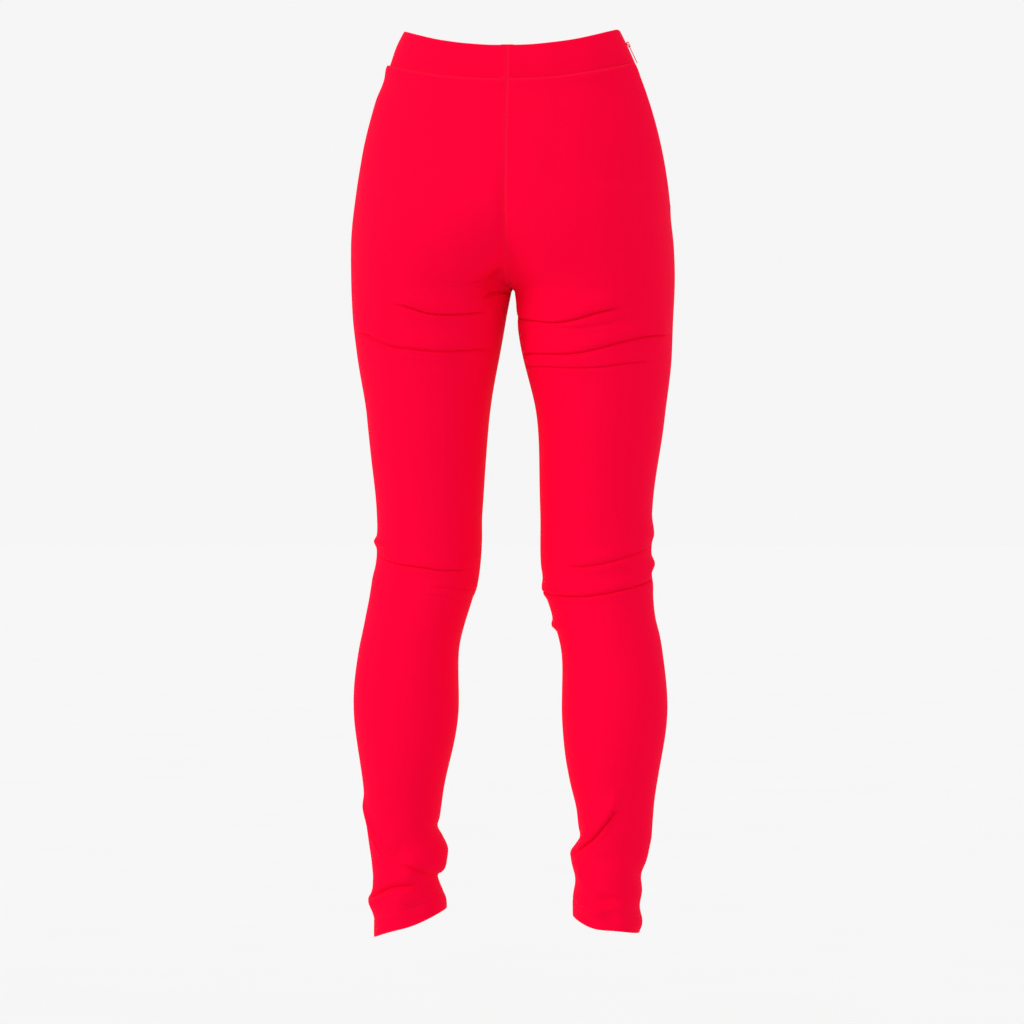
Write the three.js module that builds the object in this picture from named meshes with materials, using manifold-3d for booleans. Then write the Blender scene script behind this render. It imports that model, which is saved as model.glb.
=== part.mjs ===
// Slim stretch trousers with a contoured waistband and a concealed zip in the right side seam.
// Millimetres. +Z is up, +Y is the wearer's front, +X is the wearer's right.
// The origin is the middle of the waist opening, level with its top edge at the sides.
import * as THREE from "three";
import Module from "manifold-3d";

const wasm = await Module();
wasm.setup();

// ---- Body: half widths, and drops measured down from the top edge at the sides ----
const waistHalfWidth = 125;
const hipHalfWidth = 185.5;
const hipDrop = 250;
const crotchDrop = 300;
const seatHeight = 150; // over this height above the crotch the two legs flow into one body
const seatFullness = 1.6; // how quickly the cleft closes above the crotch
const roundness = 2.2; // exponent of the super-ellipse that every level section follows
const backDip = 24; // how far the waistband hangs below its side level at the centre back
const frontDip = 10;

// ---- Waistband, hem and cloth ----
const bandHeight = 40;
const hemDrop = 1034;
const hemTurnUp = 22;
const hemSlope = { left: 17, right: 10 }; // drop of the hem's outside below the leg's middle
const hemSlopeHeight = 120; // the slope fades in over this height
const clothThickness = 1.2;
const interliningThickness = 0.6;
const layerGap = 0.3; // between two layers of cloth
const seamGap = 0.3; // between two panels that meet at a seam

// ---- Concealed zip ----
const zipTop = 11; // along the seam, from the top edge to the top of the coils
const zipEndAboveHip = 52; // along the seam, from the end of the coils to the hip line
const zipSlit = 1.4; // free width between the two coils, where the slider's post runs
const tapeWidth = 12.5;
const tapeThickness = 0.5;
const tapeAboveCoil = 8;
const tapeBelowCoil = 14;
const coilWidth = 1.6;
const coilHeight = 1.4;
const stopLength = 2.6;
const coilChamfer = 0.4;
const runningGap = 0.3; // the slider's clearance to whatever it passes
const sliderLength = 11;
const sliderWall = 0.9;
const postThickness = zipSlit - 2 * runningGap;
const postLength = 3;
const crownLength = 6.4;
const crownWidth = 2.2;
const crownWall = 0.7;
const crownEnd = 1; // the crown's legs, along the seam
const crownGap = 0.4; // from the cloth's face to the crown
const pinDiameter = 0.9;
const pullWidth = 5;
const pullLength = 24;
const pullTipWidth = 6.6;
const pullPlay = 1; // from the crown's end to the end of the pull's window

// ---- Hook and eye above the zip, and the two labels ----
const hookPlace = 5.4; // along the seam, from the top edge to the middle of the hook
const hookWidth = 4;
const hookReach = 4.6; // past the middle of the opening
const hookBase = 15; // from the middle of the opening to the far end of the hook's plate
const metalGauge = 0.7;
const hookCurl = 3.4; // the hook's end, measured back from its bend
const eyeBar = 5.4; // length of the eye's straight bar, between its arms
const eyePlay = 0.5; // between the eye's bar and the hook's bend
const facingSlope = 0.13; // how steeply the facing falls away from the seam's tangent
const facingSetBack = 6.5; // the facing stops this far from the middle of the zip
const labelThickness = 0.4;
const sizeLabelHalfWidth = 15;
const sizeLabelHeight = 16;
const careLabelTop = 96;
const careLabelHeight = 46;

// ---- Grid: how finely the cloth is divided ----
const quarterColumns = 10;
const sideStrip = 13; // the column beside a side seam is this wide, so that the zip lies flat on it
const bandRows = 2;
const zipRows = 7;
const lowSeatRows = 5;
const lowSeatEase = 0.6; // below 1 the rows lie closer together further down
const legRows = 19;
const legEase = 1.35; // above 1 they lie closer together further up
const slitTaper = 0.9; // the opening's two edges come together over this height
const zipSteps = 14;

const SIGN = { left: -1, right: 1, back: -1, front: 1 };

// The leg at stations from the crotch (0) to the hem (1): the outside and the inside are distances
// from the middle of the body, and they differ because the wearer's weight is on one leg.
const LEG_STATIONS = [
  { share: 0.1, outer: { left: 182, right: 184 }, inner: { left: 15, right: 10 } },
  { share: 0.2, outer: { left: 168, right: 175 }, inner: { left: 27, right: 26 } },
  { share: 0.35, outer: { left: 158.5, right: 161 }, inner: { left: 34, right: 32 } },
  { share: 0.46, outer: { left: 161, right: 161 }, inner: { left: 42, right: 34 } },
  { share: 0.57, outer: { left: 179, right: 172 }, inner: { left: 62, right: 54 } },
  { share: 0.67, outer: { left: 184, right: 178 }, inner: { left: 64, right: 57 } },
  { share: 0.79, outer: { left: 174, right: 165 }, inner: { left: 80, right: 69 } },
  { share: 0.92, outer: { left: 163, right: 151 }, inner: { left: 83, right: 72 } },
  { share: 1, outer: { left: 162, right: 149 }, inner: { left: 84, right: 71 } },
];

// Depth of the back and the front from the side seams' plane, above the crotch: [drop, depth].
const SEAT_BACK = [
  [0, 80],
  [bandHeight, 90],
  [120, 112],
  [175, 123],
  [215, 127],
  [hipDrop, 124],
];
const BELLY_FRONT = [
  [0, 84],
  [bandHeight, 89],
  [120, 95],
  [205, 98],
  [hipDrop, 96],
];
// The same below it, as the y of the back and of the front: [share of the leg, back, front].
const LEG_DEPTH = [
  [0, -108, 92],
  [0.1, -92, 88],
  [0.2, -80, 84],
  [0.35, -64, 70],
  [0.46, -61, 61],
  [0.56, -72, 49],
  [0.64, -81, 40],
  [0.72, -80, 35],
  [0.81, -68, 33],
  [0.92, -53, 38],
  [1, -50, 44],
];

// ---- Small mathematics ----
const lerp = THREE.MathUtils.lerp;
const smooth = THREE.MathUtils.smoothstep;
const signedPower = (value, power) => Math.sign(value) * Math.abs(value) ** power;
const legShare = (share) => crotchDrop + share * (hemDrop - crotchDrop);

// A smooth curve through [position, value] points: cubic pieces that share their slopes.
function curveThrough(points, startSlope) {
  const slopes = points.map(([position, value], i) => {
    if (i === 0 && startSlope !== undefined) return startSlope;
    const [before, after] = [points[Math.max(i - 1, 0)], points[Math.min(i + 1, points.length - 1)]];
    return (after[1] - before[1]) / (after[0] - before[0]);
  });
  return (position) => {
    const next = points.findIndex(([start]) => start > position);
    const piece = next < 0 ? points.length - 2 : Math.max(next - 1, 0);
    const [p0, v0] = points[piece];
    const [p1, v1] = points[piece + 1];
    const t = (position - p0) / (p1 - p0);
    const rise = (p1 - p0) * (slopes[piece] * t * (1 - t) ** 2 - slopes[piece + 1] * t * t * (1 - t));
    return v0 + (v1 - v0) * t * t * (3 - 2 * t) + rise;
  };
}

// ---- Side seam: from the waist to the hip line it is an arc of a circle that is upright at the hips ----
const sideFlare = hipHalfWidth - waistHalfWidth;
const sideRadius = (hipDrop ** 2 + sideFlare ** 2) / (2 * sideFlare);
const arcCentre = new THREE.Vector2(hipHalfWidth - sideRadius, -hipDrop); // x and z, right side
const arcTop = Math.asin(hipDrop / sideRadius);
const seamAngle = (distance) => arcTop - distance / sideRadius;
const seamDrop = (distance) => hipDrop - sideRadius * Math.sin(seamAngle(distance));
const zipEnd = arcTop * sideRadius - zipEndAboveHip;

const legOuter = {};
const legInner = {};
for (const side of ["left", "right"]) {
  const stations = LEG_STATIONS.map((s) => [legShare(s.share), s.outer[side], s.inner[side]]);
  const outerPoints = stations.map(([drop, outer]) => [drop, outer]);
  legOuter[side] = curveThrough([[hipDrop, hipHalfWidth], ...outerPoints], 0);
  legInner[side] = curveThrough([[crotchDrop, 0], ...stations.map(([drop, , inner]) => [drop, inner])]);
}
const legPoints = (column) => LEG_DEPTH.map((row) => [legShare(row[0]), row[column]]);
const backY = curveThrough([...SEAT_BACK.map(([drop, depth]) => [drop, -depth]), ...legPoints(1)]);
const frontY = curveThrough([...BELLY_FRONT, ...legPoints(2)]);

// The side seams run straight down the hips' plane, and then follow the middle of the leg.
function seamY(drop) {
  const middle = (backY(drop) + frontY(drop)) / 2;
  return middle * smooth(drop, hipDrop, legShare(0.2));
}

// The section of one side at one level: its centre and its half width in x, and its depths in y.
function level(side, drop) {
  const arc = hipDrop - drop;
  const outer = drop < hipDrop ? arcCentre.x + Math.sqrt(sideRadius ** 2 - arc ** 2) : legOuter[side](drop);
  const y = seamY(drop);
  const depth = { back: y - backY(drop), front: frontY(drop) - y };
  if (drop < crotchDrop) {
    const height = Math.min((crotchDrop - drop) / seatHeight, 1);
    const parting = (1 - height) ** seatFullness;
    const half = outer / (1 + parting);
    return { centre: half * parting, half, y, depth };
  }
  const inner = legInner[side](drop);
  return { centre: (outer + inner) / 2, half: (outer - inner) / 2, y, depth };
}

// Points across one quarter at one level, from the centre or inside leg seam to the side seam.
// The inset is measured in from the outer face, and the edges are gaps to the two seams.
function quarter(side, half, drop, inset, centreEdge, sideEdge) {
  const { centre, half: halfWidth, y, depth } = level(side, drop);
  const [rx, ry] = [halfWidth - inset, depth[half] - inset];
  const at = (angle) => [
    centre - rx * signedPower(Math.cos(angle), 2 / roundness),
    ry * Math.abs(Math.sin(angle)) ** (2 / roundness),
  ];
  const cut = (centre - centreEdge) / rx;
  const start = Math.acos(THREE.MathUtils.clamp(signedPower(cut, roundness / 2), -1, 1));
  const end = Math.PI - Math.asin(Math.min(1, (sideStrip / ry) ** (roundness / 2)));
  const flat = [];
  for (let i = 0; i < quarterColumns; i++) {
    flat.push(at(lerp(start, end, i / (quarterColumns - 1))));
  }
  flat[0][1] = Math.max(flat[0][1], centreEdge);
  const corner = flat[quarterColumns - 1];
  const along = 1 - sideEdge / sideStrip;
  flat.push([lerp(corner[0], centre + rx, along), lerp(corner[1], 0, along)]);
  const dip = half === "back" ? backDip : frontDip;
  const fadeOut = 1 - smooth(drop, bandHeight, hipDrop);
  const hem = hemSlope[side] * smooth(drop, hemDrop - hemSlopeHeight, hemDrop);
  return flat.map(([x, out]) => {
    const z = -drop - dip * fadeOut * (out / ry) ** 2 + (hem * (centre - x)) / halfWidth;
    return new THREE.Vector3(SIGN[side] * x, y + SIGN[half] * out, z);
  });
}

// ---- Solids ----
function volumeOf(position, index) {
  const [a, b, c] = [new THREE.Vector3(), new THREE.Vector3(), new THREE.Vector3()];
  let sum = 0;
  for (let i = 0; i < index.length; i += 3) {
    [a, b, c].forEach((corner, k) => corner.fromArray(position, 3 * index[i + k]));
    sum += a.dot(b.cross(c));
  }
  return sum / 6;
}

// A closed solid between two grids of points of the same size.
function slab(outer, inner) {
  const [rows, columns] = [outer.length, outer[0].length];
  const position = [...outer.flat(), ...inner.flat()].flatMap((p) => p.toArray());
  const index = [];
  const quad = (a, b, c, d) => index.push(a, b, c, a, c, d);
  const at = (r, c) => r * columns + c;
  const behind = rows * columns;
  for (let r = 0; r < rows - 1; r++) {
    for (let c = 0; c < columns - 1; c++) {
      const corners = [at(r, c), at(r + 1, c), at(r + 1, c + 1), at(r, c + 1)];
      quad(...corners);
      quad(...corners.map((corner) => corner + behind).reverse());
    }
  }
  const wall = (a, b) => quad(a, b, b + behind, a + behind);
  for (let c = 0; c < columns - 1; c++) {
    wall(at(0, c), at(0, c + 1));
    wall(at(rows - 1, c + 1), at(rows - 1, c));
  }
  for (let r = 0; r < rows - 1; r++) {
    wall(at(r + 1, 0), at(r, 0));
    wall(at(r, columns - 1), at(r + 1, columns - 1));
  }
  if (volumeOf(position, index) < 0) index.reverse();
  const geometry = new THREE.BufferGeometry();
  geometry.setAttribute("position", new THREE.Float32BufferAttribute(position, 3));
  geometry.setIndex(index);
  return geometry;
}

// A layer of cloth over some levels: across(drop, inset) gives one row of its points.
function layer(drops, across, outerInset, innerInset) {
  const inner = typeof innerInset === "function" ? innerInset : () => innerInset;
  return slab(
    drops.map((drop) => across(drop, outerInset)),
    drops.map((drop) => across(drop, inner(drop))),
  );
}

const levels = (from, to, count, ease = 1) =>
  Array.from({ length: count + 1 }, (_, i) => lerp(from, to, (i / count) ** ease));

function box(low, high) {
  const size = high.map((value, i) => value - low[i]);
  const geometry = new THREE.BoxGeometry(...size);
  return geometry.translate(...low.map((value, i) => value + size[i] / 2));
}

// A solid of constant section: the outline's points are [x, y] pairs, extruded along z.
function prism(outline, length) {
  const shape = new THREE.Shape(outline.map(([x, y]) => new THREE.Vector2(x, y)));
  const geometry = new THREE.ExtrudeGeometry(shape, { depth: length, bevelEnabled: false });
  return geometry.translate(0, 0, -length / 2);
}

function toManifold(geometry) {
  const flat = geometry.index ? geometry.toNonIndexed() : geometry;
  const found = new Map();
  const vertices = [];
  const corners = [];
  const source = flat.getAttribute("position");
  for (let i = 0; i < source.count; i++) {
    const point = [source.getX(i), source.getY(i), source.getZ(i)];
    const key = point.map((value) => Math.round(value * 1e4)).join();
    if (!found.has(key)) {
      found.set(key, vertices.length / 3);
      vertices.push(...point);
    }
    corners.push(found.get(key));
  }
  const vertProperties = new Float32Array(vertices);
  const mesh = { numProp: 3, vertProperties, triVerts: new Uint32Array(corners) };
  return new wasm.Manifold(new wasm.Mesh(mesh));
}

function fromManifold(solid) {
  const mesh = solid.getMesh();
  const geometry = new THREE.BufferGeometry();
  geometry.setAttribute("position", new THREE.BufferAttribute(mesh.vertProperties, 3));
  geometry.setIndex(new THREE.BufferAttribute(mesh.triVerts, 1));
  return geometry;
}

const merged = (solids) => solids.reduce((all, one) => all.add(one));
const joined = (...geometries) => fromManifold(merged(geometries.map(toManifold)));

// ---- Materials ----
function finish(color, roughness, metalness = 0) {
  return new THREE.MeshStandardMaterial({ color, roughness, metalness });
}
const cloth = () => finish(0xf5063a, 0.85);
const facingCloth = () => finish(0xe30636, 0.88);
const interlining = () => finish(0xf2efe8, 0.95);
const tapeCloth = () => finish(0xd90a35, 0.8);
const coilPlastic = () => finish(0xcf1038, 0.45);
const paintedMetal = () => finish(0xd01038, 0.35, 0.4);
const nickel = () => finish(0xc9ccd0, 0.3, 1);
const satin = () => finish(0xf7f6f2, 0.5);

const trousers = new THREE.Group();

function add(name, geometry, material, parent = trousers) {
  const mesh = new THREE.Mesh(geometry, material);
  mesh.name = name;
  parent.add(mesh);
}

// ---- Panels: each leg has a back and a front one, from the waist seam to the turned-up hem ----
const zipEndDrop = seamDrop(zipEnd);
const panelDrops = [
  ...levels(bandHeight + seamGap / 2, zipEndDrop, zipRows),
  zipEndDrop + slitTaper,
  ...levels(zipEndDrop, crotchDrop, lowSeatRows, lowSeatEase).slice(1),
  ...levels(crotchDrop, hemDrop - hemTurnUp, legRows, legEase).slice(1),
  hemDrop - hemTurnUp + seamGap,
  hemDrop,
];

function sideEdge(side, drop) {
  return side === "right" && drop <= zipEndDrop ? zipSlit / 2 : seamGap / 2;
}

const turnedUp = (drop) => (drop > hemDrop - hemTurnUp ? 2 * clothThickness : clothThickness);

for (const side of ["left", "right"]) {
  for (const half of ["back", "front"]) {
    const across = (drop, inset) => quarter(side, half, drop, inset, seamGap / 2, sideEdge(side, drop));
    add(`${half}_panel_${side}`, layer(panelDrops, across, 0, turnedUp), cloth());
  }
}

// ---- Waistband: a shell, a stiffening layer and a facing, each in three pieces ----
const bandDrops = levels(0, bandHeight - seamGap / 2, bandRows);
const interliningInset = clothThickness + layerGap;
const facingInset = interliningInset + interliningThickness + layerGap;
const facingInside = facingInset + clothThickness;

// A front row runs without a break from the left side seam round to the opening on the right.
function frontRow(drop, inset, leftEdge, rightEdge) {
  const left = quarter("left", "front", drop, inset, 0, leftEdge).reverse();
  return [...left, ...quarter("right", "front", drop, inset, 0, rightEdge).slice(1)];
}

function addBandLayer(name, material, outerInset, thickness, openingEdge) {
  const inner = outerInset + thickness;
  for (const side of ["left", "right"]) {
    const edge = side === "right" ? openingEdge : seamGap / 2;
    const across = (drop, inset) => quarter(side, "back", drop, inset, seamGap / 2, edge);
    add(`${name}_back_${side}`, layer(bandDrops, across, outerInset, inner), material());
  }
  const across = (drop, inset) => frontRow(drop, inset, seamGap / 2, openingEdge);
  add(`${name}_front`, layer(bandDrops, across, outerInset, inner), material());
}

addBandLayer("waistband", cloth, 0, clothThickness, zipSlit / 2);
const besideTape = tapeWidth + layerGap;
addBandLayer("waistband_interlining", interlining, interliningInset, interliningThickness, besideTape);
addBandLayer("waistband_facing", facingCloth, facingInset, clothThickness, facingSetBack);

// ---- Labels: a small one at the centre back, and the care label in the left side seam ----
function centreBackRow(drop, inset) {
  const { half, y, depth } = level("left", drop);
  return [-sizeLabelHalfWidth, 0, sizeLabelHalfWidth].map((x) => {
    const out = (depth.back - inset) * (1 - Math.abs(x / (half - inset)) ** roundness) ** (1 / roundness);
    return new THREE.Vector3(x, y - out, -drop - backDip * (out / (depth.back - inset)) ** 2);
  });
}

const sizeLabelInset = facingInside + layerGap;
const sizeLabelDrop = (bandHeight - sizeLabelHeight) / 2;
const sizeLabelDrops = [sizeLabelDrop, sizeLabelDrop + sizeLabelHeight];
const sizeLabel = layer(sizeLabelDrops, centreBackRow, sizeLabelInset, sizeLabelInset + labelThickness);
add("size_label", sizeLabel, satin());

const careLabelDrops = levels(careLabelTop, careLabelTop + careLabelHeight, 2);
const careLabelRow = (drop, inset) => quarter("left", "back", drop, inset, seamGap / 2, layerGap).slice(-3);
const careLabelInset = clothThickness + layerGap;
const careLabel = layer(careLabelDrops, careLabelRow, careLabelInset, careLabelInset + labelThickness);
add("care_label", careLabel, satin());

// ---- Places on the zip: n is out from the cloth's face, t is up along the seam ----
function seamGroup(distance) {
  const angle = seamAngle(distance);
  const group = new THREE.Group();
  group.position.set(
    arcCentre.x + sideRadius * Math.cos(angle),
    seamY(0),
    arcCentre.y + sideRadius * Math.sin(angle),
  );
  group.rotation.y = -angle;
  trousers.add(group);
  return group;
}

const tapeInset = clothThickness + layerGap;
const coilFace = tapeInset + tapeThickness + layerGap; // of the coils' outer side, under the cloth's face
const coilBack = coilFace + coilHeight;
const coilOuterEdge = zipSlit / 2 + coilWidth;

// ---- Zip tapes and coils, one of each on either edge of the opening ----
const tapeTop = zipTop - tapeAboveCoil;
const tapeDrops = levels(tapeTop, zipEnd + tapeBelowCoil, zipSteps).map(seamDrop);

function tapeRow(half, drop, inset) {
  const [corner, edge] = quarter("right", half, drop, inset, 0, zipSlit / 2).slice(-2);
  const width = sideStrip - zipSlit / 2;
  return [corner.lerp(edge, (sideStrip - tapeWidth) / width), edge];
}

// A bar that follows the seam: its section is a loop of [depth under the face, y] points.
function seamBar(section, from, to, steps) {
  const at = (distance, [depth, y]) => {
    const [angle, radius] = [seamAngle(distance), sideRadius - depth];
    const x = arcCentre.x + radius * Math.cos(angle);
    return new THREE.Vector3(x, seamY(0) + y, arcCentre.y + radius * Math.sin(angle));
  };
  const stations = levels(from, to, steps);
  const half = section.length / 2;
  const face = (points) => stations.map((distance) => points.map((point) => at(distance, point)));
  return slab(face(section.slice(0, half)), face(section.slice(half).reverse()));
}

for (const half of ["back", "front"]) {
  add(
    `zip_tape_${half}`,
    layer(tapeDrops, (drop, inset) => tapeRow(half, drop, inset), tapeInset, tapeInset + tapeThickness),
    tapeCloth(),
  );
  const [near, far] = [SIGN[half] * (zipSlit / 2), SIGN[half] * coilOuterEdge];
  const cut = SIGN[half] * coilChamfer;
  const section = [
    [coilFace + coilChamfer, near],
    [coilFace, near + cut],
    [coilFace, far - cut],
    [coilFace + coilChamfer, far],
    [coilBack - coilChamfer, far],
    [coilBack, far - cut],
    [coilBack, near + cut],
    [coilBack - coilChamfer, near],
  ];
  add(`zip_coil_${half}`, seamBar(section, zipTop + stopLength, zipEnd, zipSteps), coilPlastic());
  const topStop = seamGroup(zipTop + stopLength / 2 - seamGap / 2);
  const sides = [near, far].sort((a, b) => a - b);
  const stopHalf = (stopLength - seamGap) / 2;
  const stop = box([-coilBack, sides[0], -stopHalf], [-coilFace, sides[1], stopHalf]);
  add(`zip_top_stop_${half}`, stop, nickel(), topStop);
}

// The bottom stop is a clip round both coils' ends.
const stopSide = coilOuterEdge + runningGap;
const stopBack = -coilBack - layerGap;
const bottomStop = seamGroup(zipEnd - stopLength / 2);
const stopWall = (way) => {
  const ys = [way * stopSide, way * (stopSide + sliderWall)].sort((a, b) => a - b);
  const low = [stopBack - sliderWall, ys[0], -stopLength / 2];
  return box(low, [-coilFace - layerGap, ys[1], stopLength / 2]);
};
const stopPlate = box(
  [stopBack - sliderWall, -stopSide, -stopLength / 2],
  [stopBack, stopSide, stopLength / 2],
);
add("zip_bottom_stop", joined(stopPlate, stopWall(-1), stopWall(1)), nickel(), bottomStop);

// ---- Slider: a channel round the coils, a post through the slit and a crown that holds the pull ----
const sliderPlace = zipTop + stopLength + runningGap + sliderLength / 2;
const slider = seamGroup(sliderPlace);
const channelSide = coilOuterEdge + runningGap;
const plateSide = channelSide + sliderWall;
const channelBack = coilBack + runningGap;
const crownFace = crownGap;
const windowLow = crownFace + crownWall;
const pinPlace = windowLow + runningGap + pinDiameter / 2;
const windowHigh = pinPlace + pinDiameter / 2 + runningGap;
const [halfLength, halfCrown] = [sliderLength / 2, crownLength / 2];
const channelWall = (way) => {
  const ys = [way * channelSide, way * (channelSide + sliderWall)].sort((a, b) => a - b);
  const low = [-channelBack - sliderWall, ys[0], -halfLength];
  return box(low, [-coilFace - runningGap - layerGap, ys[1], halfLength]);
};
const crownLeg = (way) => {
  const ts = [way * halfCrown, way * (halfCrown - crownEnd)].sort((a, b) => a - b);
  return box([crownFace, -crownWidth / 2, ts[0]], [windowHigh + crownWall, crownWidth / 2, ts[1]]);
};
add(
  "zip_slider",
  joined(
    box([-channelBack - sliderWall, -plateSide, -halfLength], [-channelBack, plateSide, halfLength]),
    channelWall(-1),
    channelWall(1),
    box([-channelBack - sliderWall / 2, -postThickness / 2, 0], [windowLow, postThickness / 2, postLength]),
    box([crownFace, -crownWidth / 2, -halfCrown], [windowLow, crownWidth / 2, halfCrown]),
    crownLeg(-1),
    crownLeg(1),
    box([windowHigh, -crownWidth / 2, -halfCrown], [windowHigh + crownWall, crownWidth / 2, halfCrown]),
  ),
  paintedMetal(),
  slider,
);

// ---- Pull: a drop-shaped tab whose cross pin runs under the slider's crown ----
const pullReach = halfCrown + pullPlay; // from the pin to the far end of the tab's window
const armWidth = pullWidth / 2 - crownWidth / 2 - runningGap;
const tip = pullTipWidth / 2;
const tabOutline = new THREE.Shape();
tabOutline.moveTo(-pullWidth / 2, 0);
tabOutline.lineTo(-tip, -(pullLength - tip));
tabOutline.absarc(0, -(pullLength - tip), tip, Math.PI, 2 * Math.PI, false);
tabOutline.lineTo(pullWidth / 2, 0);
const windowHole = new THREE.Path();
const windowSide = pullWidth / 2 - armWidth;
windowHole.moveTo(-windowSide, -pinDiameter / 4);
windowHole.lineTo(windowSide, -pinDiameter / 4);
windowHole.lineTo(windowSide, -pullReach);
windowHole.lineTo(-windowSide, -pullReach);
tabOutline.holes.push(windowHole);
const tabSettings = { depth: pinDiameter, bevelEnabled: false, curveSegments: 8 };
const tab = new THREE.ExtrudeGeometry(tabOutline, tabSettings);
tab.translate(0, 0, -pinDiameter / 2);
// The outline's x becomes y, its y becomes t, and its thickness lies along n.
tab.applyMatrix4(
  new THREE.Matrix4().makeBasis(
    new THREE.Vector3(0, 1, 0),
    new THREE.Vector3(0, 0, 1),
    new THREE.Vector3(1, 0, 0),
  ),
);
const pin = new THREE.CylinderGeometry(pinDiameter / 2, pinDiameter / 2, pullWidth, 12);
const pull = new THREE.Group();
pull.position.x = pinPlace;
slider.add(pull);
add("zip_pull", joined(tab, pin), paintedMetal(), pull);

// ---- Hook on the back facing, and the eye on the front facing that it catches ----
const fastening = seamGroup(hookPlace);
const plateFace = facingInside + sideStrip * facingSlope + layerGap;
const hookMouth = 3 * metalGauge;
const turns = [
  [plateFace, -hookBase],
  [plateFace, hookReach],
  [plateFace + 2 * metalGauge + hookMouth, hookReach],
  [plateFace + 2 * metalGauge + hookMouth, hookReach - hookCurl],
  [plateFace + metalGauge + hookMouth, hookReach - hookCurl],
  [plateFace + metalGauge + hookMouth, hookReach - metalGauge],
  [plateFace + metalGauge, hookReach - metalGauge],
  [plateFace + metalGauge, -hookBase],
];
add("waist_hook", prism(turns.map(([depth, y]) => [-depth, y]), hookWidth), nickel(), fastening);

const barDepth = plateFace + metalGauge + hookMouth / 2;
const barY = hookReach - 2 * metalGauge - eyePlay;
const halfGauge = metalGauge / 2;
const arm = (way) => {
  const ts = [(way * eyeBar) / 2, way * (eyeBar / 2 + metalGauge)].sort((a, b) => a - b);
  return box([-barDepth - halfGauge, barY - halfGauge, ts[0]], [-barDepth + halfGauge, hookBase, ts[1]]);
};
add(
  "waist_eye",
  joined(
    box(
      [-barDepth - halfGauge, barY - halfGauge, -eyeBar / 2],
      [-barDepth + halfGauge, barY + halfGauge, eyeBar / 2],
    ),
    arm(-1),
    arm(1),
  ),
  nickel(),
  fastening,
);

export default trousers;
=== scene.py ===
"""Slim stretch trousers: cloth, seams, side zip, fastening, labels and a plain studio.

Metres, in the part's own frame: +Z up, +Y the wearer's front, +X the wearer's right, and the origin
at the middle of the waist opening. A place on the cloth is a drop, measured down from the waist's
top edge at the sides, and a distance along the cloth at that level.
"""

from __future__ import annotations

import logging
from dataclasses import dataclass, field
from enum import Enum
from typing import Callable, Sequence

import bmesh
import bpy
import numpy as np
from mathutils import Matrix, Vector

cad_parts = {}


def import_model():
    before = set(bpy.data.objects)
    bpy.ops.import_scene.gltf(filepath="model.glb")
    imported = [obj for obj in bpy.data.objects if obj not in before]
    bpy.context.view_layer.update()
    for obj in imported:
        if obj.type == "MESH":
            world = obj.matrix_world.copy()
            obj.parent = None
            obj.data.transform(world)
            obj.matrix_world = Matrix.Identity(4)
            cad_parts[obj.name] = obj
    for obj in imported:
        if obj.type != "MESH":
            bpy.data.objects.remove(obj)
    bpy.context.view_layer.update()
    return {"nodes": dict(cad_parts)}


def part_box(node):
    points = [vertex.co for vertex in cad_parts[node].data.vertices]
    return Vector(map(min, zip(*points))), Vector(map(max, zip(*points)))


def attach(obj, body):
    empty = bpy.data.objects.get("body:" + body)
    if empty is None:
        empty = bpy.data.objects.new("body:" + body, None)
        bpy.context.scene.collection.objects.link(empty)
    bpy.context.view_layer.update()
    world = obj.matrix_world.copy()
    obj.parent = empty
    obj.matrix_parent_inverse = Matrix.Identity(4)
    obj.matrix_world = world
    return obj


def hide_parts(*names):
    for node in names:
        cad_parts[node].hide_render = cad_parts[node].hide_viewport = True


LOG = logging.getLogger("trousers")
MM = 0.001
Array = np.ndarray
Points = Sequence[tuple[float, float]]

# Sizes that several pieces of cloth share.
CLOTH = 0.5 * MM
FOLD_RADIUS = 0.55 * MM
SEAM_GAP = 0.01 * MM
HIDDEN_GAP = 0.01 * MM
HIDDEN_REACH = 0.1 * MM
SLIT = 0.7 * MM
SLIT_EASE = 3 * MM
ALLOWANCE = 9 * MM
HEM_TURN = 22 * MM
HEM_STITCH = 20 * MM
GROOVE_DEPTH = 0.45 * MM
GROOVE_WIDTH = 1.0 * MM
ROW_CLEARANCE = 0.4 * MM
WORN_EDGE = 2.2 * MM

# The corners of a tube's ring, and the share of its radius left at a closed end.
TUBE_SIDES = 6
TUBE_POINT = 0.05

# The Mix node's sockets for two colours and their blend.
MIX_FIRST, MIX_SECOND, MIX_RESULT = 6, 7, 2


class Side(Enum):
    """The wearer's left or right; the value is the sign of x."""

    LEFT = -1
    RIGHT = 1

    @property
    def label(self) -> str:
        """The word used in node and piece names."""
        return self.name.lower()


class Half(Enum):
    """The back or the front of the garment; the value is the sign of y."""

    BACK = -1
    FRONT = 1

    @property
    def label(self) -> str:
        """The word used in node and piece names."""
        return self.name.lower()


# ---------------------------------------------------------------- small mathematics


def smoothstep(value: Array, low: float, high: float) -> Array:
    """A cubic ease from 0 at low to 1 at high, level outside."""
    t = np.clip((np.asarray(value, float) - low) / (high - low), 0, 1)
    return t * t * (3 - 2 * t)


def bell(value: Array, width: float) -> Array:
    """A Gaussian bell of height 1 at 0 that falls to 1/e at width."""
    return np.exp(-((np.asarray(value, float) / width) ** 2))


def signed_power(value: Array, power: float) -> Array:
    """The power of the size, with the sign kept."""
    return np.sign(value) * np.abs(value) ** power


def unit(vectors: Array) -> Array:
    """Vectors along the last axis, brought to length 1."""
    return vectors / np.maximum(np.linalg.norm(vectors, axis=-1, keepdims=True), 1e-12)


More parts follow.
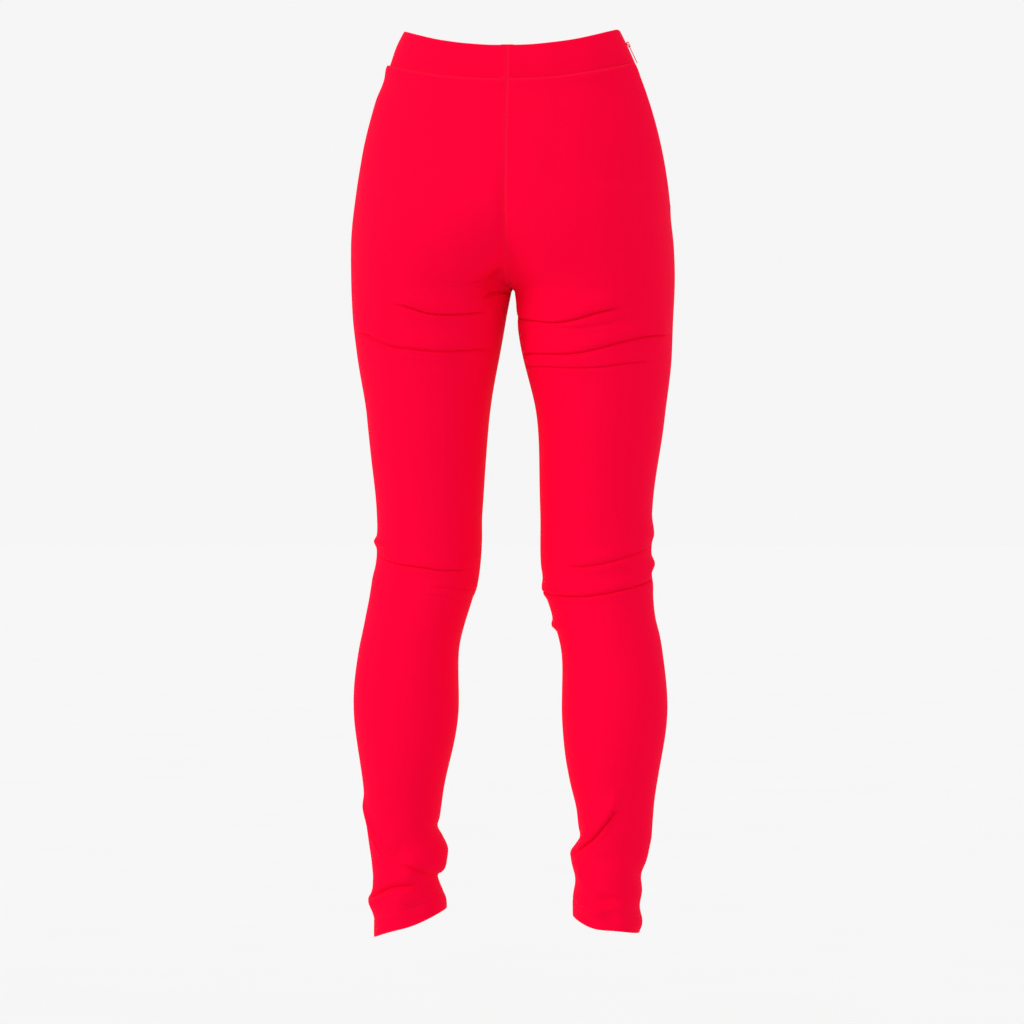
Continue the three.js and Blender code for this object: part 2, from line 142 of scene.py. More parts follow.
def smooth_curve(points: Points, start_slope: float | None = None) -> Callable[[Array], Array]:
    """A curve of cubic pieces through points, each joint's slope being that of its neighbours' chord.

    Args:
        points: (position, value) pairs in order.
        start_slope: the slope at the first point, if it isn't that of the first chord.

    Returns:
        A function of an array of positions.
    """
    at, value = (np.array(column, float) for column in zip(*points))
    order = np.arange(len(at))
    before, after = np.maximum(order - 1, 0), np.minimum(order + 1, len(at) - 1)
    slope = (value[after] - value[before]) / (at[after] - at[before])
    if start_slope is not None:
        slope[0] = start_slope

    def curve(position: Array) -> Array:
        """Value = Hermite blend of the two nearest points and their slopes."""
        position = np.asarray(position, float)
        i = np.clip(np.searchsorted(at, position, side="right") - 1, 0, len(at) - 2)
        span = at[i + 1] - at[i]
        t = (position - at[i]) / span
        rise = span * (slope[i] * t * (1 - t) ** 2 - slope[i + 1] * t * t * (1 - t))
        return value[i] + (value[i + 1] - value[i]) * t * t * (3 - 2 * t) + rise

    return curve


def waves(seed: int, u: Array, v: Array, lengths: tuple[float, float], count: int = 7) -> Array:
    """A smooth pseudo-random field: a sum of sines of several directions and phases, of size about 1.

    Args:
        seed: which field.
        u: first coordinate, in metres.
        v: second coordinate, in metres.
        lengths: shortest and longest wave, in metres.
        count: how many sines.
    """
    draw = np.random.default_rng(seed)
    total = np.zeros(np.broadcast(u, v).shape)
    for length, turn, phase in zip(
        draw.uniform(*lengths, count), draw.uniform(0, np.pi, count), draw.uniform(0, 2 * np.pi, count)
    ):
        total += np.sin(2 * np.pi * (u * np.cos(turn) + v * np.sin(turn)) / length + phase)
    return total / np.sqrt(count)


# ---------------------------------------------------------------- body form


@dataclass(frozen=True)
class BodyForm:
    """The shape the cloth is stretched to: each level is a super-ellipse round each leg's middle."""

    waist_half: float = 0.125
    hip_half: float = 0.1855
    hip_drop: float = 0.250
    crotch_drop: float = 0.300
    hem_drop: float = 1.034
    seat_height: float = 0.150
    seat_fullness: float = 1.6
    roundness: float = 2.2
    back_dip: float = 0.024
    front_dip: float = 0.010
    band_height: float = 0.040
    hem_slope_height: float = 0.120
    hem_slope: tuple[float, float] = (0.017, 0.010)
    centre_strip: float = 0.020
    samples: int = 200

    OUTER = (
        ((0.1, 182, 184), (0.2, 168, 175), (0.35, 158.5, 161), (0.46, 161, 161), (0.57, 179, 172))
        + ((0.67, 184, 178), (0.79, 174, 165), (0.92, 163, 151), (1, 162, 149))
    )
    INNER = (
        ((0.1, 15, 10), (0.2, 27, 26), (0.35, 34, 32), (0.46, 42, 34), (0.57, 62, 54))
        + ((0.67, 64, 57), (0.79, 80, 69), (0.92, 83, 72), (1, 84, 71))
    )
    SEAT_BACK = ((0, 80), (40, 90), (120, 112), (175, 123), (215, 127), (250, 124))
    BELLY_FRONT = ((0, 84), (40, 89), (120, 95), (205, 98), (250, 96))
    LEG_DEPTH = (
        ((0, -108, 92), (0.1, -92, 88), (0.2, -80, 84), (0.35, -64, 70), (0.46, -61, 61), (0.56, -72, 49))
        + ((0.64, -81, 40), (0.72, -80, 35), (0.81, -68, 33), (0.92, -53, 38), (1, -50, 44))
    )

    def leg(self, share: float) -> float:
        """The drop at a share of the leg, from 0 at the crotch to 1 at the hem."""
        return self.crotch_drop + share * (self.hem_drop - self.crotch_drop)

    @property
    def side_radius(self) -> float:
        """Radius of the arc that the side seam follows from the waist to the hips."""
        flare = self.hip_half - self.waist_half
        return (self.hip_drop**2 + flare**2) / (2 * flare)

    @property
    def arc_centre(self) -> float:
        """The x of that arc's centre on the wearer's right; its drop is the hips'."""
        return self.hip_half - self.side_radius

    def seam_angle(self, distance: Array) -> Array:
        """The turn about the arc's centre at a distance along the side seam from its top."""
        return np.arcsin(self.hip_drop / self.side_radius) - np.asarray(distance) / self.side_radius

    def seam_drop(self, distance: Array) -> Array:
        """The drop at a distance along the side seam."""
        return self.hip_drop - self.side_radius * np.sin(self.seam_angle(distance))

    def outer(self, side: Side, drop: Array) -> Array:
        """How far the side stands from the middle: the arc above the hips, a smooth curve below."""
        column = 1 if side is Side.LEFT else 2
        stations = [(self.leg(row[0]), row[column] * MM) for row in self.OUTER]
        below = smooth_curve([(self.hip_drop, self.hip_half), *stations], 0)(drop)
        rise = np.clip(self.hip_drop - drop, 0, None)
        return np.where(drop < self.hip_drop, self.arc_centre + np.sqrt(self.side_radius**2 - rise**2), below)

    def inner(self, side: Side, drop: Array) -> Array:
        """How far the inside of the leg stands from the middle, below the crotch."""
        column = 1 if side is Side.LEFT else 2
        stations = [(self.leg(row[0]), row[column] * MM) for row in self.INNER]
        return smooth_curve([(self.crotch_drop, 0.0), *stations])(drop)

    def edge_y(self, half: Half, drop: Array) -> Array:
        """The y of the very back or the very front at a level."""
        column = 1 if half is Half.BACK else 2
        table, sign = (self.SEAT_BACK, -1) if half is Half.BACK else (self.BELLY_FRONT, 1)
        upper = [(d * MM, sign * depth * MM) for d, depth in table]
        return smooth_curve([*upper, *((self.leg(row[0]), row[column] * MM) for row in self.LEG_DEPTH)])(drop)

    def seam_y(self, drop: Array) -> Array:
        """The y of the side seam: 0 at the hips, and the middle of the leg further down."""
        middle = (self.edge_y(Half.BACK, drop) + self.edge_y(Half.FRONT, drop)) / 2
        return middle * smoothstep(drop, self.hip_drop, self.leg(0.2))

    def level(self, side: Side, half: Half, drop: Array) -> tuple[Array, Array, Array, Array]:
        """The section at each drop.

        Returns:
            The leg's middle x, its half width, the side seam's y and the depth from it.
        """
        outer, y = self.outer(side, drop), self.seam_y(drop)
        depth = half.value * (self.edge_y(half, drop) - y)
        height = np.clip((self.crotch_drop - drop) / self.seat_height, 0, 1)
        parting = (1 - height) ** self.seat_fullness
        inner = self.inner(side, drop)
        above = drop < self.crotch_drop
        wide = np.where(above, outer / (1 + parting), (outer - inner) / 2)
        return np.where(above, wide * parting, (outer + inner) / 2), wide, y, depth

    def quarter(self, side: Side, half: Half, drop: Array) -> tuple[Array, Array]:
        """Points across one quarter, from the centre or inside leg seam to the side seam.

        At angle a the section's x is middle - width * cos(a)^(2/n) and its y is depth * sin(a)^(2/n),
        cut off at the plane x = 0; the level then dips towards the centre and slopes at the hem.

        Returns:
            Points (rows, samples, 3), and the angle round the leg in degrees: 0 at the back's
            middle, 90 at the outside, -90 at the inside, and on towards 180 at the front.
        """
        middle, wide, y, depth = (column[:, None] for column in self.level(side, half, drop))
        start = np.arccos(np.clip(signed_power(np.clip(middle / wide, -1, 1), self.roundness / 2), -1, 1))
        angle = start + (np.pi - start) * np.linspace(0, 1, self.samples)
        across = -signed_power(np.cos(angle), 2 / self.roundness)
        out = np.abs(np.sin(angle)) ** (2 / self.roundness)
        dip = self.back_dip if half is Half.BACK else self.front_dip
        fade = 1 - smoothstep(drop, self.band_height, self.hip_drop)[:, None]
        slope = self.hem_slope[0 if side is Side.LEFT else 1]
        hem = slope * smoothstep(drop, self.hem_drop - self.hem_slope_height, self.hem_drop)[:, None]
        points = np.stack(
            [
                side.value * (middle + wide * across),
                y + half.value * depth * out,
                -drop[:, None] - dip * fade * out**2 - hem * across,
            ],
            axis=-1,
        )
        back = np.degrees(np.arcsin(np.clip(across, -1, 1)))
        return points, back if half is Half.BACK else np.where(back < 0, -180 - back, 180 - back)

    def normals(self, side: Side, half: Half, drop: Array) -> Array:
        """Outward unit normals of quarter(): the cross product of its two directions of travel.

        Near the centre seam they are turned into its plane, so that both halves meet there.
        """
        step = 0.5 * MM
        above, below = self.quarter(side, half, drop - step)[0], self.quarter(side, half, drop + step)[0]
        along = np.gradient((above + below) / 2, axis=1)
        normal = unit(np.cross(along, below - above))
        normal = normal * np.sign(np.mean(normal[..., 1]) * half.value)
        points = (above + below) / 2
        off_centre = np.abs(points[..., 0])
        near = (off_centre < self.centre_strip) & (drop < self.crotch_drop)[:, None]
        normal[..., 0] *= np.where(near, smoothstep(off_centre, 0, self.centre_strip), 1)
        return unit(normal)


# ---------------------------------------------------------------- drape


@dataclass(frozen=True)
class Fold:
    """A crease across a leg: cloth swells above the line, is pinched in at it and sags over it.

    The line is (angle in degrees, fall in millimetres) points, with falls measured straight down.
    Pinch, puff and sag are depths in millimetres, narrow and broad are the widths of the pinch and
    the swell in millimetres, fade is in degrees, and below is the share of the puff under the line.
    """

    side: Side
    line: Points
    pinch: float = 2.2
    puff: float = 1.8
    narrow: float = 1.5
    broad: float = 8.0
    sag: float = 2.0
    fade: float = 14.0
    below: float = 0.45
    puff_place: float = 0.75
    lower_size: float = 0.6
    sag_size: float = 1.2
    puff_end: tuple[float, float] = (-3.0, 1.0)

    def shape(self, angle: Array, fall: Array) -> tuple[Array, Array]:
        """Offset out and down: bells of the distance below the line, faded past the line's ends."""
        ends = sorted(self.line)
        where = np.array([p[0] for p in ends], float)
        level = smooth_curve(ends)(np.clip(angle, where[0], where[-1])) if len(ends) > 1 else ends[0][1]
        below = fall / MM - level
        reach = smoothstep(angle, where[0] - self.fade, where[0] + self.fade / 2)
        reach = reach * (1 - smoothstep(angle, where[-1] - self.fade / 2, where[-1] + self.fade))
        swell = self.puff * bell(below + self.broad * self.puff_place, self.broad)
        swell = swell * (1 - smoothstep(below, *self.puff_end))
        lower = self.broad * self.lower_size
        again = self.puff * self.below * bell(below - lower, lower)
        out = swell + again - self.pinch * bell(below, self.narrow)
        down = self.sag * bell(below + self.narrow, self.narrow * self.sag_size)
        return out * reach * MM, down * reach * MM


@dataclass(frozen=True)
class Dent:
    """A rounded bump, or a dent if its height is negative, in millimetres."""

    side: Side
    angle: float
    fall: float
    height: float
    half_angle: float
    half_fall: float
    lean: float = 0.0

    def shape(self, angle: Array, fall: Array) -> Array:
        """A bell in the angle times a bell in the fall, the fall leaning with the angle."""
        down = fall / MM - self.fall - self.lean * (angle - self.angle)
        return self.height * MM * bell(angle - self.angle, self.half_angle) * bell(down, self.half_fall)


L, R = Side.LEFT, Side.RIGHT

FOLDS = (
    Fold(L, ((-46, 329), (-20.6, 332), (-5.6, 331), (4, 327), (15.5, 321.6)), 3.4, 2.8, 1.9, 10, 2.4),
    Fold(
        L,
        ((-58, 370), (-33, 372.6), (-12.7, 373.5), (7, 371), (23, 368), (39, 360), (47, 355), (64, 351)),
        *(3.0, 2.4, 2.2, 10, 1.8),
    ),
    Fold(L, ((-23, 383), (41, 370)), 0.8, 0.8, 2.6, 7, 0.4),
    Fold(L, ((-47, 624), (-20, 624), (-6, 621.8), (11.5, 619.4), (31, 616.5), (55, 610)), 2.4, 1.8),
    Fold(L, ((-82, 646.6), (-16, 645)), 1.2, 1.0, 1.8, 6, 0.9, 10),
    Fold(L, ((-63, 660), (-17, 654)), 0.7, 0.7, 2.6, 7, 0.4),
    Fold(L, ((-80, 304), (-66, 306), (-51, 312)), 3.6, 3.0, 2.6, 6, 2.4, 8),
    Fold(L, ((-80, 977), (-33.6, 969.8), (-7, 964)), 3.6, 3.2, 4.0, 13, 2.2),
    Fold(L, ((-14, 983.7), (24, 989.5), (75, 1004.6)), 3.4, 3.4, 4.0, 12, 2.6),
    Fold(L, ((31, 952), (55, 928), (80, 902)), 1.6, 2.2, 4, 9, 0.6),
    Fold(
        R,
        ((-74, 333), (-61, 336), (-43, 339), (-25.7, 341), (-10.8, 338), (3.4, 331.5), (17.7, 326)),
        *(3.6, 3.0, 1.9, 10, 2.6),
    ),
    Fold(R, ((-30, 347), (-10, 349), (11.5, 344.5), (26, 337.6)), 0.8, 0.8, 2.4, 6, 0.4),
    Fold(
        R,
        ((-68, 375), (-36.7, 376.5), (-12, 376), (10, 369), (25.5, 362.6), (43, 357), (66, 354)),
        *(3.2, 2.6, 2.0, 10, 2.2),
    ),
    Fold(R, ((-67.6, 390), (-39, 391.4), (-13.4, 393), (9.7, 391.4), (25.7, 388), (44.3, 385)), 1.9, 1.6),
    Fold(R, ((-22.6, 620.6), (-4.4, 619.4), (21, 613.6), (62, 600.9)), 2.0, 2.2, 2.2, 9, 1.6),
    Fold(
        R,
        ((-88, 648.4), (-57.7, 652), (-33, 653.7), (-11.4, 653.7), (9.4, 650.8), (31.5, 646.1), (78, 635.7)),
        *(2.7, 2.0),
    ),
    Fold(R, ((-56, 948), (-51, 944), (-24.6, 931.5), (-4, 913), (6.5, 900)), 4.0, 4.0, 3.6, 12, 3.2),
)

DENTS = (
    Dent(L, -58, 292, -14, 13, 20),
    Dent(L, 55, 927, 1.4, 12, 16, -1.0),
    Dent(L, -17, 1008, -3.2, 20, 5),
    Dent(R, -49, 976.7, 2.2, 12, 7),
    Dent(R, 4, 1001, -3.4, 34, 4.5, 0.1),
    Dent(R, -10, 1012, 2.2, 30, 5),
    Dent(L, 0, 205, 2.5, 34, 46),
    Dent(R, 0, 205, 2.5, 34, 46),
)

# How far the outline stands out from the smooth form, as (fall, offset) points in millimetres.
OUTLINE: dict[tuple[Side, int], Points] = {
    (L, 1): (
        ((40, 0), (61, -1.5), (82, 0), (150, -1.8), (184, -1), (254, 1.2), (331, 0), (386, -1.9), (463, 1.7))
        + ((559, -0.7), (584, -1), (592, 2.2), (601, -1.4), (618, -1.3), (637, 1.4), (667, 0.8), (702, -2))
        + ((764, -2), (834, -3.5), (884, -3.4), (901, -1.1), (940, -1.2), (986, -4.2), (994, -3.7))
        + ((1006, 4.6), (1015, 3.2), (1029, -1), (1051, -2))
    ),
    (L, -1): (
        ((331, 0), (405, 1), (463, 0), (559, -0.6), (592, 1.4), (644, 2.6), (650, 2.2), (658, 1), (702, 0.6))
        + ((741, 2.4), (834, 3.4), (884, 1.7), (911, -0.6), (922, -3.2), (933, 2), (947, 8), (959, 7.8))
        + ((969, 5.4), (979, -1.7), (986, -0.6), (997, 3.4), (1007, 7), (1022, 7.5), (1051, 5))
    ),
    (R, 1): (
        ((40, 2), (61, 3.2), (115, 2.2), (150, 0.8), (184, -2), (192, 0), (219, 0), (254, 2.8), (289, 3.6))
        + ((349, 1.7), (428, 2.4), (559, 1.8), (583, 5.4), (594, 3), (607, 2.6), (618, 6), (629, 2))
        + ((642, 2.4), (658, 0.8), (681, 0), (702, 2), (741, 3.2), (799, 2.7), (869, 2), (892, 2.2))
        + ((933, 5.6), (959, 2.6), (994, 0.4), (1015, -0.6), (1034, 2.6), (1044, 0))
    ),
    (R, -1): (
        ((331, -2.9), (349, -1), (405, -2.5), (463, -2.3), (559, -0.8), (618, -1.8), (637, -3.2), (651, -1))
        + ((660, -3), (681, -3), (689, 0.8), (697, -3.6), (764, -3.6), (834, 0.3), (869, -0.9), (901, -5.4))
        + ((922, -6.2), (933, -7.2), (941, -2.6), (950, 3), (959, 2.2), (979, -1.2), (1001, 1.4), (1022, 0.4))
        + ((1044, 0),)
    ),
}


@dataclass(frozen=True)
class Drape:
    """Everything that lifts the cloth off the smooth body form, as one field over all its layers."""

    form: BodyForm
    zip_end: float
    folds: tuple[Fold, ...] = FOLDS
    dents: tuple[Dent, ...] = DENTS
    unevenness: float = 0.35 * MM
    uneven_stretch: float = 2.0
    uneven_waves: tuple[float, float] = (0.05, 0.16)
    hem_hang: float = 6 * MM
    hang_height: float = 70 * MM
    hang_place: float = -24.0
    hang_spread: float = 40.0
    slackness: float = 1.1 * MM
    slack_shares: tuple[float, float] = (0.79, 0.92)
    slack_stretch: float = 1.4
    slack_waves: tuple[float, float] = (0.028, 0.06)
    band_pull: float = 1.6 * MM
    band_pull_from: float = 0.4
    under_band: float = 1.8 * MM
    under_band_place: float = 4 * MM
    under_band_spread: float = 7 * MM
    flat_by_zip: tuple[float, float] = (9 * MM, 26 * MM)
    flat_past_zip: float = 20 * MM
    flat_by_centre: float = 10 * MM

    def offset(self, side: Side, drop: Array, points: Array, angle: Array) -> tuple[Array, Array]:
        """The cloth's offset out along the normal, and down, at points of the smooth form.

        Args:
            side: which leg.
            drop: the rows' drops, as a column.
            points: places on the form (rows, samples, 3).
            angle: degrees round the leg (rows, samples).
        """
        fall = -points[..., 2]
        out, down = np.zeros_like(fall), np.zeros_like(fall)
        for fold in self.folds:
            if fold.side is side:
                more, lower = fold.shape(angle, fall)
                out, down = out + more, down + lower
        for dent in self.dents:
            if dent.side is side:
                out = out + dent.shape(angle, fall)
        sideways = np.sin(np.radians(angle))
        for way in (1, -1):
            curve = smooth_curve([(at * MM, offset * MM) for at, offset in OUTLINE[(side, way)]])
            low, high = OUTLINE[(side, way)][0][0] * MM, OUTLINE[(side, way)][-1][0] * MM
            out = out + curve(np.clip(fall, low, high)) * np.clip(way * sideways, 0, 1) ** 2
        uneven = waves(side.value + 5, points[..., 0] * self.uneven_stretch, fall, self.uneven_waves)
        out = out + self.unevenness * uneven
        out = out + self.waist_seam(drop, angle)
        near_hem = smoothstep(drop, self.form.hem_drop - self.hang_height, self.form.hem_drop)
        down = down + self.hem_hang * near_hem * bell(angle - self.hang_place, self.hang_spread)
        slack = smoothstep(drop, *(self.form.leg(share) for share in self.slack_shares))
        loose = waves(side.value + 9, points[..., 0] * self.slack_stretch, fall, self.slack_waves)
        out = out + self.slackness * slack * loose
        calm = self.calm(side, drop, points)
        return out * calm, down * calm

    def waist_seam(self, drop: Array, angle: Array) -> Array:
        """The band is drawn in towards its lower edge and the panel swells just under it."""
        band = self.form.band_height
        drawn_in = -self.band_pull * smoothstep(drop, self.band_pull_from * band, band) * (drop < band)
        swell = self.under_band * bell(drop - band - self.under_band_place, self.under_band_spread)
        swell = swell * (drop >= band)
        return (drawn_in + swell) * np.ones_like(angle)

    def calm(self, side: Side, drop: Array, points: Array) -> Array:
        """0 beside the zip, where the cloth lies flat on it, and at the centre seam's plane; else 1."""
        beside = smoothstep(np.abs(points[..., 1] - self.form.seam_y(drop)), *self.flat_by_zip)
        past = smoothstep(drop, self.zip_end, self.zip_end + self.flat_past_zip)
        near_zip = np.maximum(beside, past) if side is Side.RIGHT else np.ones_like(beside)
        centre = smoothstep(np.abs(points[..., 0]), 0, self.flat_by_centre)
        return near_zip * np.where(drop < self.form.crotch_drop, centre, 1)


# ---------------------------------------------------------------- cloth on the form


@dataclass(frozen=True)
class Edge:
    """The path of the cloth's face beside one edge: distances in from the edge, and depths under the face."""

    distance: Array
    inset: Array

    @staticmethod
    def turned(gap: float, radius: float, allowance: float, reach: float | None = None) -> Edge:
        """Cloth turned under: half an ellipse at the edge, and then back inside by the allowance.

        Args:
            gap: from the seam's middle to the fold.
            radius: half the height of the fold.
            allowance: how far back the turned part reaches.
            reach: how far the fold's curve takes to level out, if it isn't its radius.
        """
        reach = radius if reach is None else reach
        turn = np.radians(np.linspace(-90, 90, 7))
        back = np.linspace(allowance, reach, 5)[:-1]
        distance = np.concatenate([back, reach - reach * np.cos(turn)]) + gap
        inset = np.concatenate([np.full(len(back), 2 * radius), radius - radius * np.sin(turn)])
        return Edge(distance, inset)

    @staticmethod
    def raw(gap: float) -> Edge:
        """Cloth that simply ends."""
        return Edge(np.array([gap]), np.zeros(1))


@dataclass(frozen=True)
class Layer:
    """A layer of cloth over part of the form, as a grid of its face's points."""

    form: BodyForm
    drape: Drape
    quarters: tuple[tuple[Side, Half], ...]
    drops: Array
    top: Edge
    bottom: Edge
    start: Edge
    end: Edge
    columns: int
    inset: float = 0.0
    open_gap: float = 0.0
    open_ends: tuple[bool, bool] = (False, False)

    def rows(self) -> tuple[Array, Array]:
        """The rows' drops and insets, the edges' own rows included."""
        upper, lower = self.drops[0], self.drops[-1]
        start = upper + self.top.distance
        end = lower - self.bottom.distance[::-1]
        low, high = start[-1] + ROW_CLEARANCE, end[0] - ROW_CLEARANCE
        inner = self.drops[(self.drops > low) & (self.drops < high)]
        drop = np.concatenate([start, inner, end])
        return drop, np.concatenate([self.top.inset, np.zeros(len(inner)), self.bottom.inset[::-1]])

    def line(self, drop: Array) -> tuple[Array, Array]:
        """The draped face along whole levels, before it is cut into columns.

        Returns:
            Points and normals, (rows, samples, 3), from the layer's start to its end.
        """
        points, normals = [], []
        for i, (side, half) in enumerate(self.quarters):
            place, angle = self.form.quarter(side, half, drop)
            normal = self.form.normals(side, half, drop)
            out, down = self.drape.offset(side, drop[:, None], place, angle)
            place = place + normal * out[..., None]
            place[..., 2] -= down
            above = (drop < self.form.crotch_drop)[:, None]
            own = np.where(above, np.maximum(place[..., 0] * side.value, 0), place[..., 0] * side.value)
            place[..., 0] = own * side.value
            reverse = i == 0 and len(self.quarters) == 2
            points.append(place[:, ::-1] if reverse else place[:, i:])
            normals.append(normal[:, ::-1] if reverse else normal[:, i:])
        return np.concatenate(points, axis=1), np.concatenate(normals, axis=1)

    def at(self, drop: Array, distance: Callable[[Array], Array], inset: Array) -> tuple[Array, Array, Array]:
        """Points at distances along each level, let in by inset along the normal.

        Args:
            drop: one drop for each row.
            distance: turns the rows' lengths (rows, 1) into distances (rows, columns).
            inset: depth under the layer's face, that broadcasts to (rows, columns).

        Returns:
            Points, normals and the distances.
        """
        points, normals = self.line(drop)
        run = np.linalg.norm(np.diff(points[..., :2], axis=1), axis=-1)
        run = np.concatenate([np.zeros((len(drop), 1)), np.cumsum(run, axis=1)], axis=1)
        wanted = distance(run[:, -1:])
        sampled = [
            np.stack([np.interp(wanted[r], run[r], grid[r, :, k]) for r in range(len(drop))])
            for grid in (points, normals)
            for k in range(3)
        ]
        place, normal = np.stack(sampled[:3], -1), unit(np.stack(sampled[3:], -1))
        return place - normal * (inset + self.inset)[..., None], normal, wanted

    def grid(self) -> tuple[Array, Array, Array, Array]:
        """The whole layer's grid.

        Returns:
            Points, normals, and the distance and drop of each point, for its own pattern.
        """
        drop, row_inset = self.rows()
        first, last = self.start.distance[-1], self.end.distance[-1]
        share = np.linspace(0, 1, self.columns + 2)[1:-1]
        middle = first - share * (first + last)
        fixed = np.concatenate([self.start.distance, middle, -self.end.distance[::-1]])
        scaled = np.concatenate([np.zeros(len(self.start.distance)), share, np.ones(len(self.end.distance))])
        column_inset = np.concatenate([self.start.inset, np.zeros(len(share)), self.end.inset[::-1]])
        low, high = self.drape.zip_end - SLIT_EASE, self.drape.zip_end + SLIT_EASE
        wider = self.open_gap * (1 - smoothstep(drop, low, high))
        at_start, at_end = (float(opens) for opens in self.open_ends)
        shift = wider[:, None] * (at_start * (1 - scaled) - at_end * scaled)
        both = np.maximum(row_inset[:, None], column_inset[None, :])
        both = both + self.groove(drop)[:, None] * (both == 0)
        points, normals, along = self.at(drop, lambda length: fixed + scaled * length + shift, both)
        return points, normals, along, np.broadcast_to(drop[:, None], along.shape)

    def groove(self, drop: Array) -> Array:
        """How deep the hem's stitching draws the face in: a narrow bell at the stitch line."""
        if self.drops[-1] < self.form.hem_drop:
            return np.zeros_like(drop)
        return GROOVE_DEPTH * bell(drop - (self.form.hem_drop - HEM_STITCH), GROOVE_WIDTH)


# ---------------------------------------------------------------- meshes


def grid_faces(rows: int, columns: int) -> Array:
    """Quads of a grid numbered row by row."""
    at = np.arange(rows * columns).reshape(rows, columns)
    return np.stack([at[:-1, :-1], at[1:, :-1], at[1:, 1:], at[:-1, 1:]], -1).reshape(-1, 4)


def faced(faces: Array, points: Array, normals: Array) -> Array:
    """A grid's quads, turned over if they look away from the normal at the grid's middle."""
    row, column = points.shape[0] // 2, points.shape[1] // 2
    a, b, c = points[row, column], points[row + 1, column], points[row + 1, column + 1]
    return faces[:, ::-1] if np.dot(np.cross(b - a, c - a), normals[row, column]) < 0 else faces


def mesh_object(
    name: str,
    points: Array,
    faces: Array,
    materials: Sequence[bpy.types.Material],
    uv: Array | None = None,
    wear: Array | None = None,
) -> bpy.types.Object:
    """A smooth-shaded object at the origin from arrays.

    Args:
        name: the piece's name.
        points: (count, 3).
        faces: (count, 4) corners.
        materials: for its slots, in order.
        uv: (count, 2) per point, in metres, kept as the map "cloth".
        wear: (count,) per point from 0 to 1, kept as the attribute "wear".
    """
    mesh = bpy.data.meshes.new(name)
    mesh.vertices.add(len(points))
    mesh.vertices.foreach_set("co", np.ascontiguousarray(points, np.float32).ravel())
    mesh.loops.add(faces.size)
    mesh.loops.foreach_set("vertex_index", np.ascontiguousarray(faces, np.int32).ravel())
    mesh.polygons.add(len(faces))
    mesh.polygons.foreach_set("loop_start", np.arange(0, faces.size, faces.shape[1], dtype=np.int32))
    mesh.update(calc_edges=True)
    mesh.polygons.foreach_set("use_smooth", np.ones(len(faces), bool))
    if uv is not None:
        layer = mesh.uv_layers.new(name="cloth")
        layer.data.foreach_set("uv", np.ascontiguousarray(uv[faces.ravel()], np.float32).ravel())
    if wear is not None:
        attribute = mesh.attributes.new("wear", "FLOAT", "POINT")
        attribute.data.foreach_set("value", np.ascontiguousarray(wear, np.float32).ravel())
    mesh.validate()
    for material in materials:
        mesh.materials.append(material)
    piece = bpy.data.objects.new(name, mesh)
    bpy.context.scene.collection.objects.link(piece)
    return piece


def cloth_object(
    name: str, layer: Layer, materials: Sequence[bpy.types.Material], thickness: float = CLOTH
) -> bpy.types.Object:
    """A layer made into a piece: its face's grid, given its thickness inwards by Solidify."""
    points, normals, along, drop = layer.grid()
    faces = faced(grid_faces(*along.shape), points, normals)
    length = along.max(axis=1, keepdims=True)
    to_edge = np.minimum(along, length - along)
    edge = np.minimum(to_edge, np.minimum(drop - layer.drops[0], layer.drops[-1] - drop))
    wear = np.clip(1 - edge / WORN_EDGE, 0, 1)
    uv = np.stack([along - length / 2, -drop], -1).reshape(-1, 2)
    piece = mesh_object(name, points.reshape(-1, 3), faces, materials, uv, wear.ravel())
    solid = piece.modifiers.new("thickness", "SOLIDIFY")
    solid.thickness = thickness
    solid.offset = -1
    solid.use_quality_normals = True
    solid.material_offset = 1 if len(materials) > 1 else 0
    return piece


def tube_faces(rings: int) -> Array:
    """The quads of a tube of six-sided rings, with two more at each end to close it."""
    at = np.arange(rings * TUBE_SIDES).reshape(rings, TUBE_SIDES)
    next_ = np.roll(at, -1, axis=1)
    around = np.stack([at[:-1], next_[:-1], next_[1:], at[1:]], -1).reshape(-1, 4)
    start = at[0][[[3, 2, 1, 0], [5, 4, 3, 0]]]
    end = at[-1][[[0, 1, 2, 3], [0, 3, 4, 5]]]
    return np.concatenate([around, start, end])


def tube(path: Array, radius: float) -> tuple[Array, Array]:
    """A closed tube: a ring carried along a path, on frames from the tangent and a steady direction.

    Args:
        path: (count, 3) points.
        radius: of the ring, which narrows to a twentieth of it at both ends.

    Returns:
        Points (count * TUBE_SIDES, 3) and quads.
    """
    tangent = unit(np.gradient(path, axis=0))
    steady = np.where(np.abs(tangent[:, 2:3]) > 0.9, [[1.0, 0, 0]], [[0, 0, 1.0]])
    first = unit(np.cross(tangent, steady))
    second = np.cross(tangent, first)
    turn = np.linspace(0, 2 * np.pi, TUBE_SIDES, endpoint=False)
    size = np.full(len(path), radius)
    size[[0, -1]] = radius * TUBE_POINT
    ring = np.cos(turn)[None, :, None] * first[:, None] + np.sin(turn)[None, :, None] * second[:, None]
    points = path[:, None] + ring * size[:, None, None]
    return points.reshape(-1, 3), tube_faces(len(path))


def gathered(parts: Sequence[tuple[Array, Array]]) -> tuple[Array, Array]:
    """Several meshes' points and faces as one."""
    counts = np.cumsum([0] + [len(points) for points, _ in parts[:-1]])
    return np.concatenate([p for p, _ in parts]), np.concatenate([f + n for (_, f), n in zip(parts, counts)])


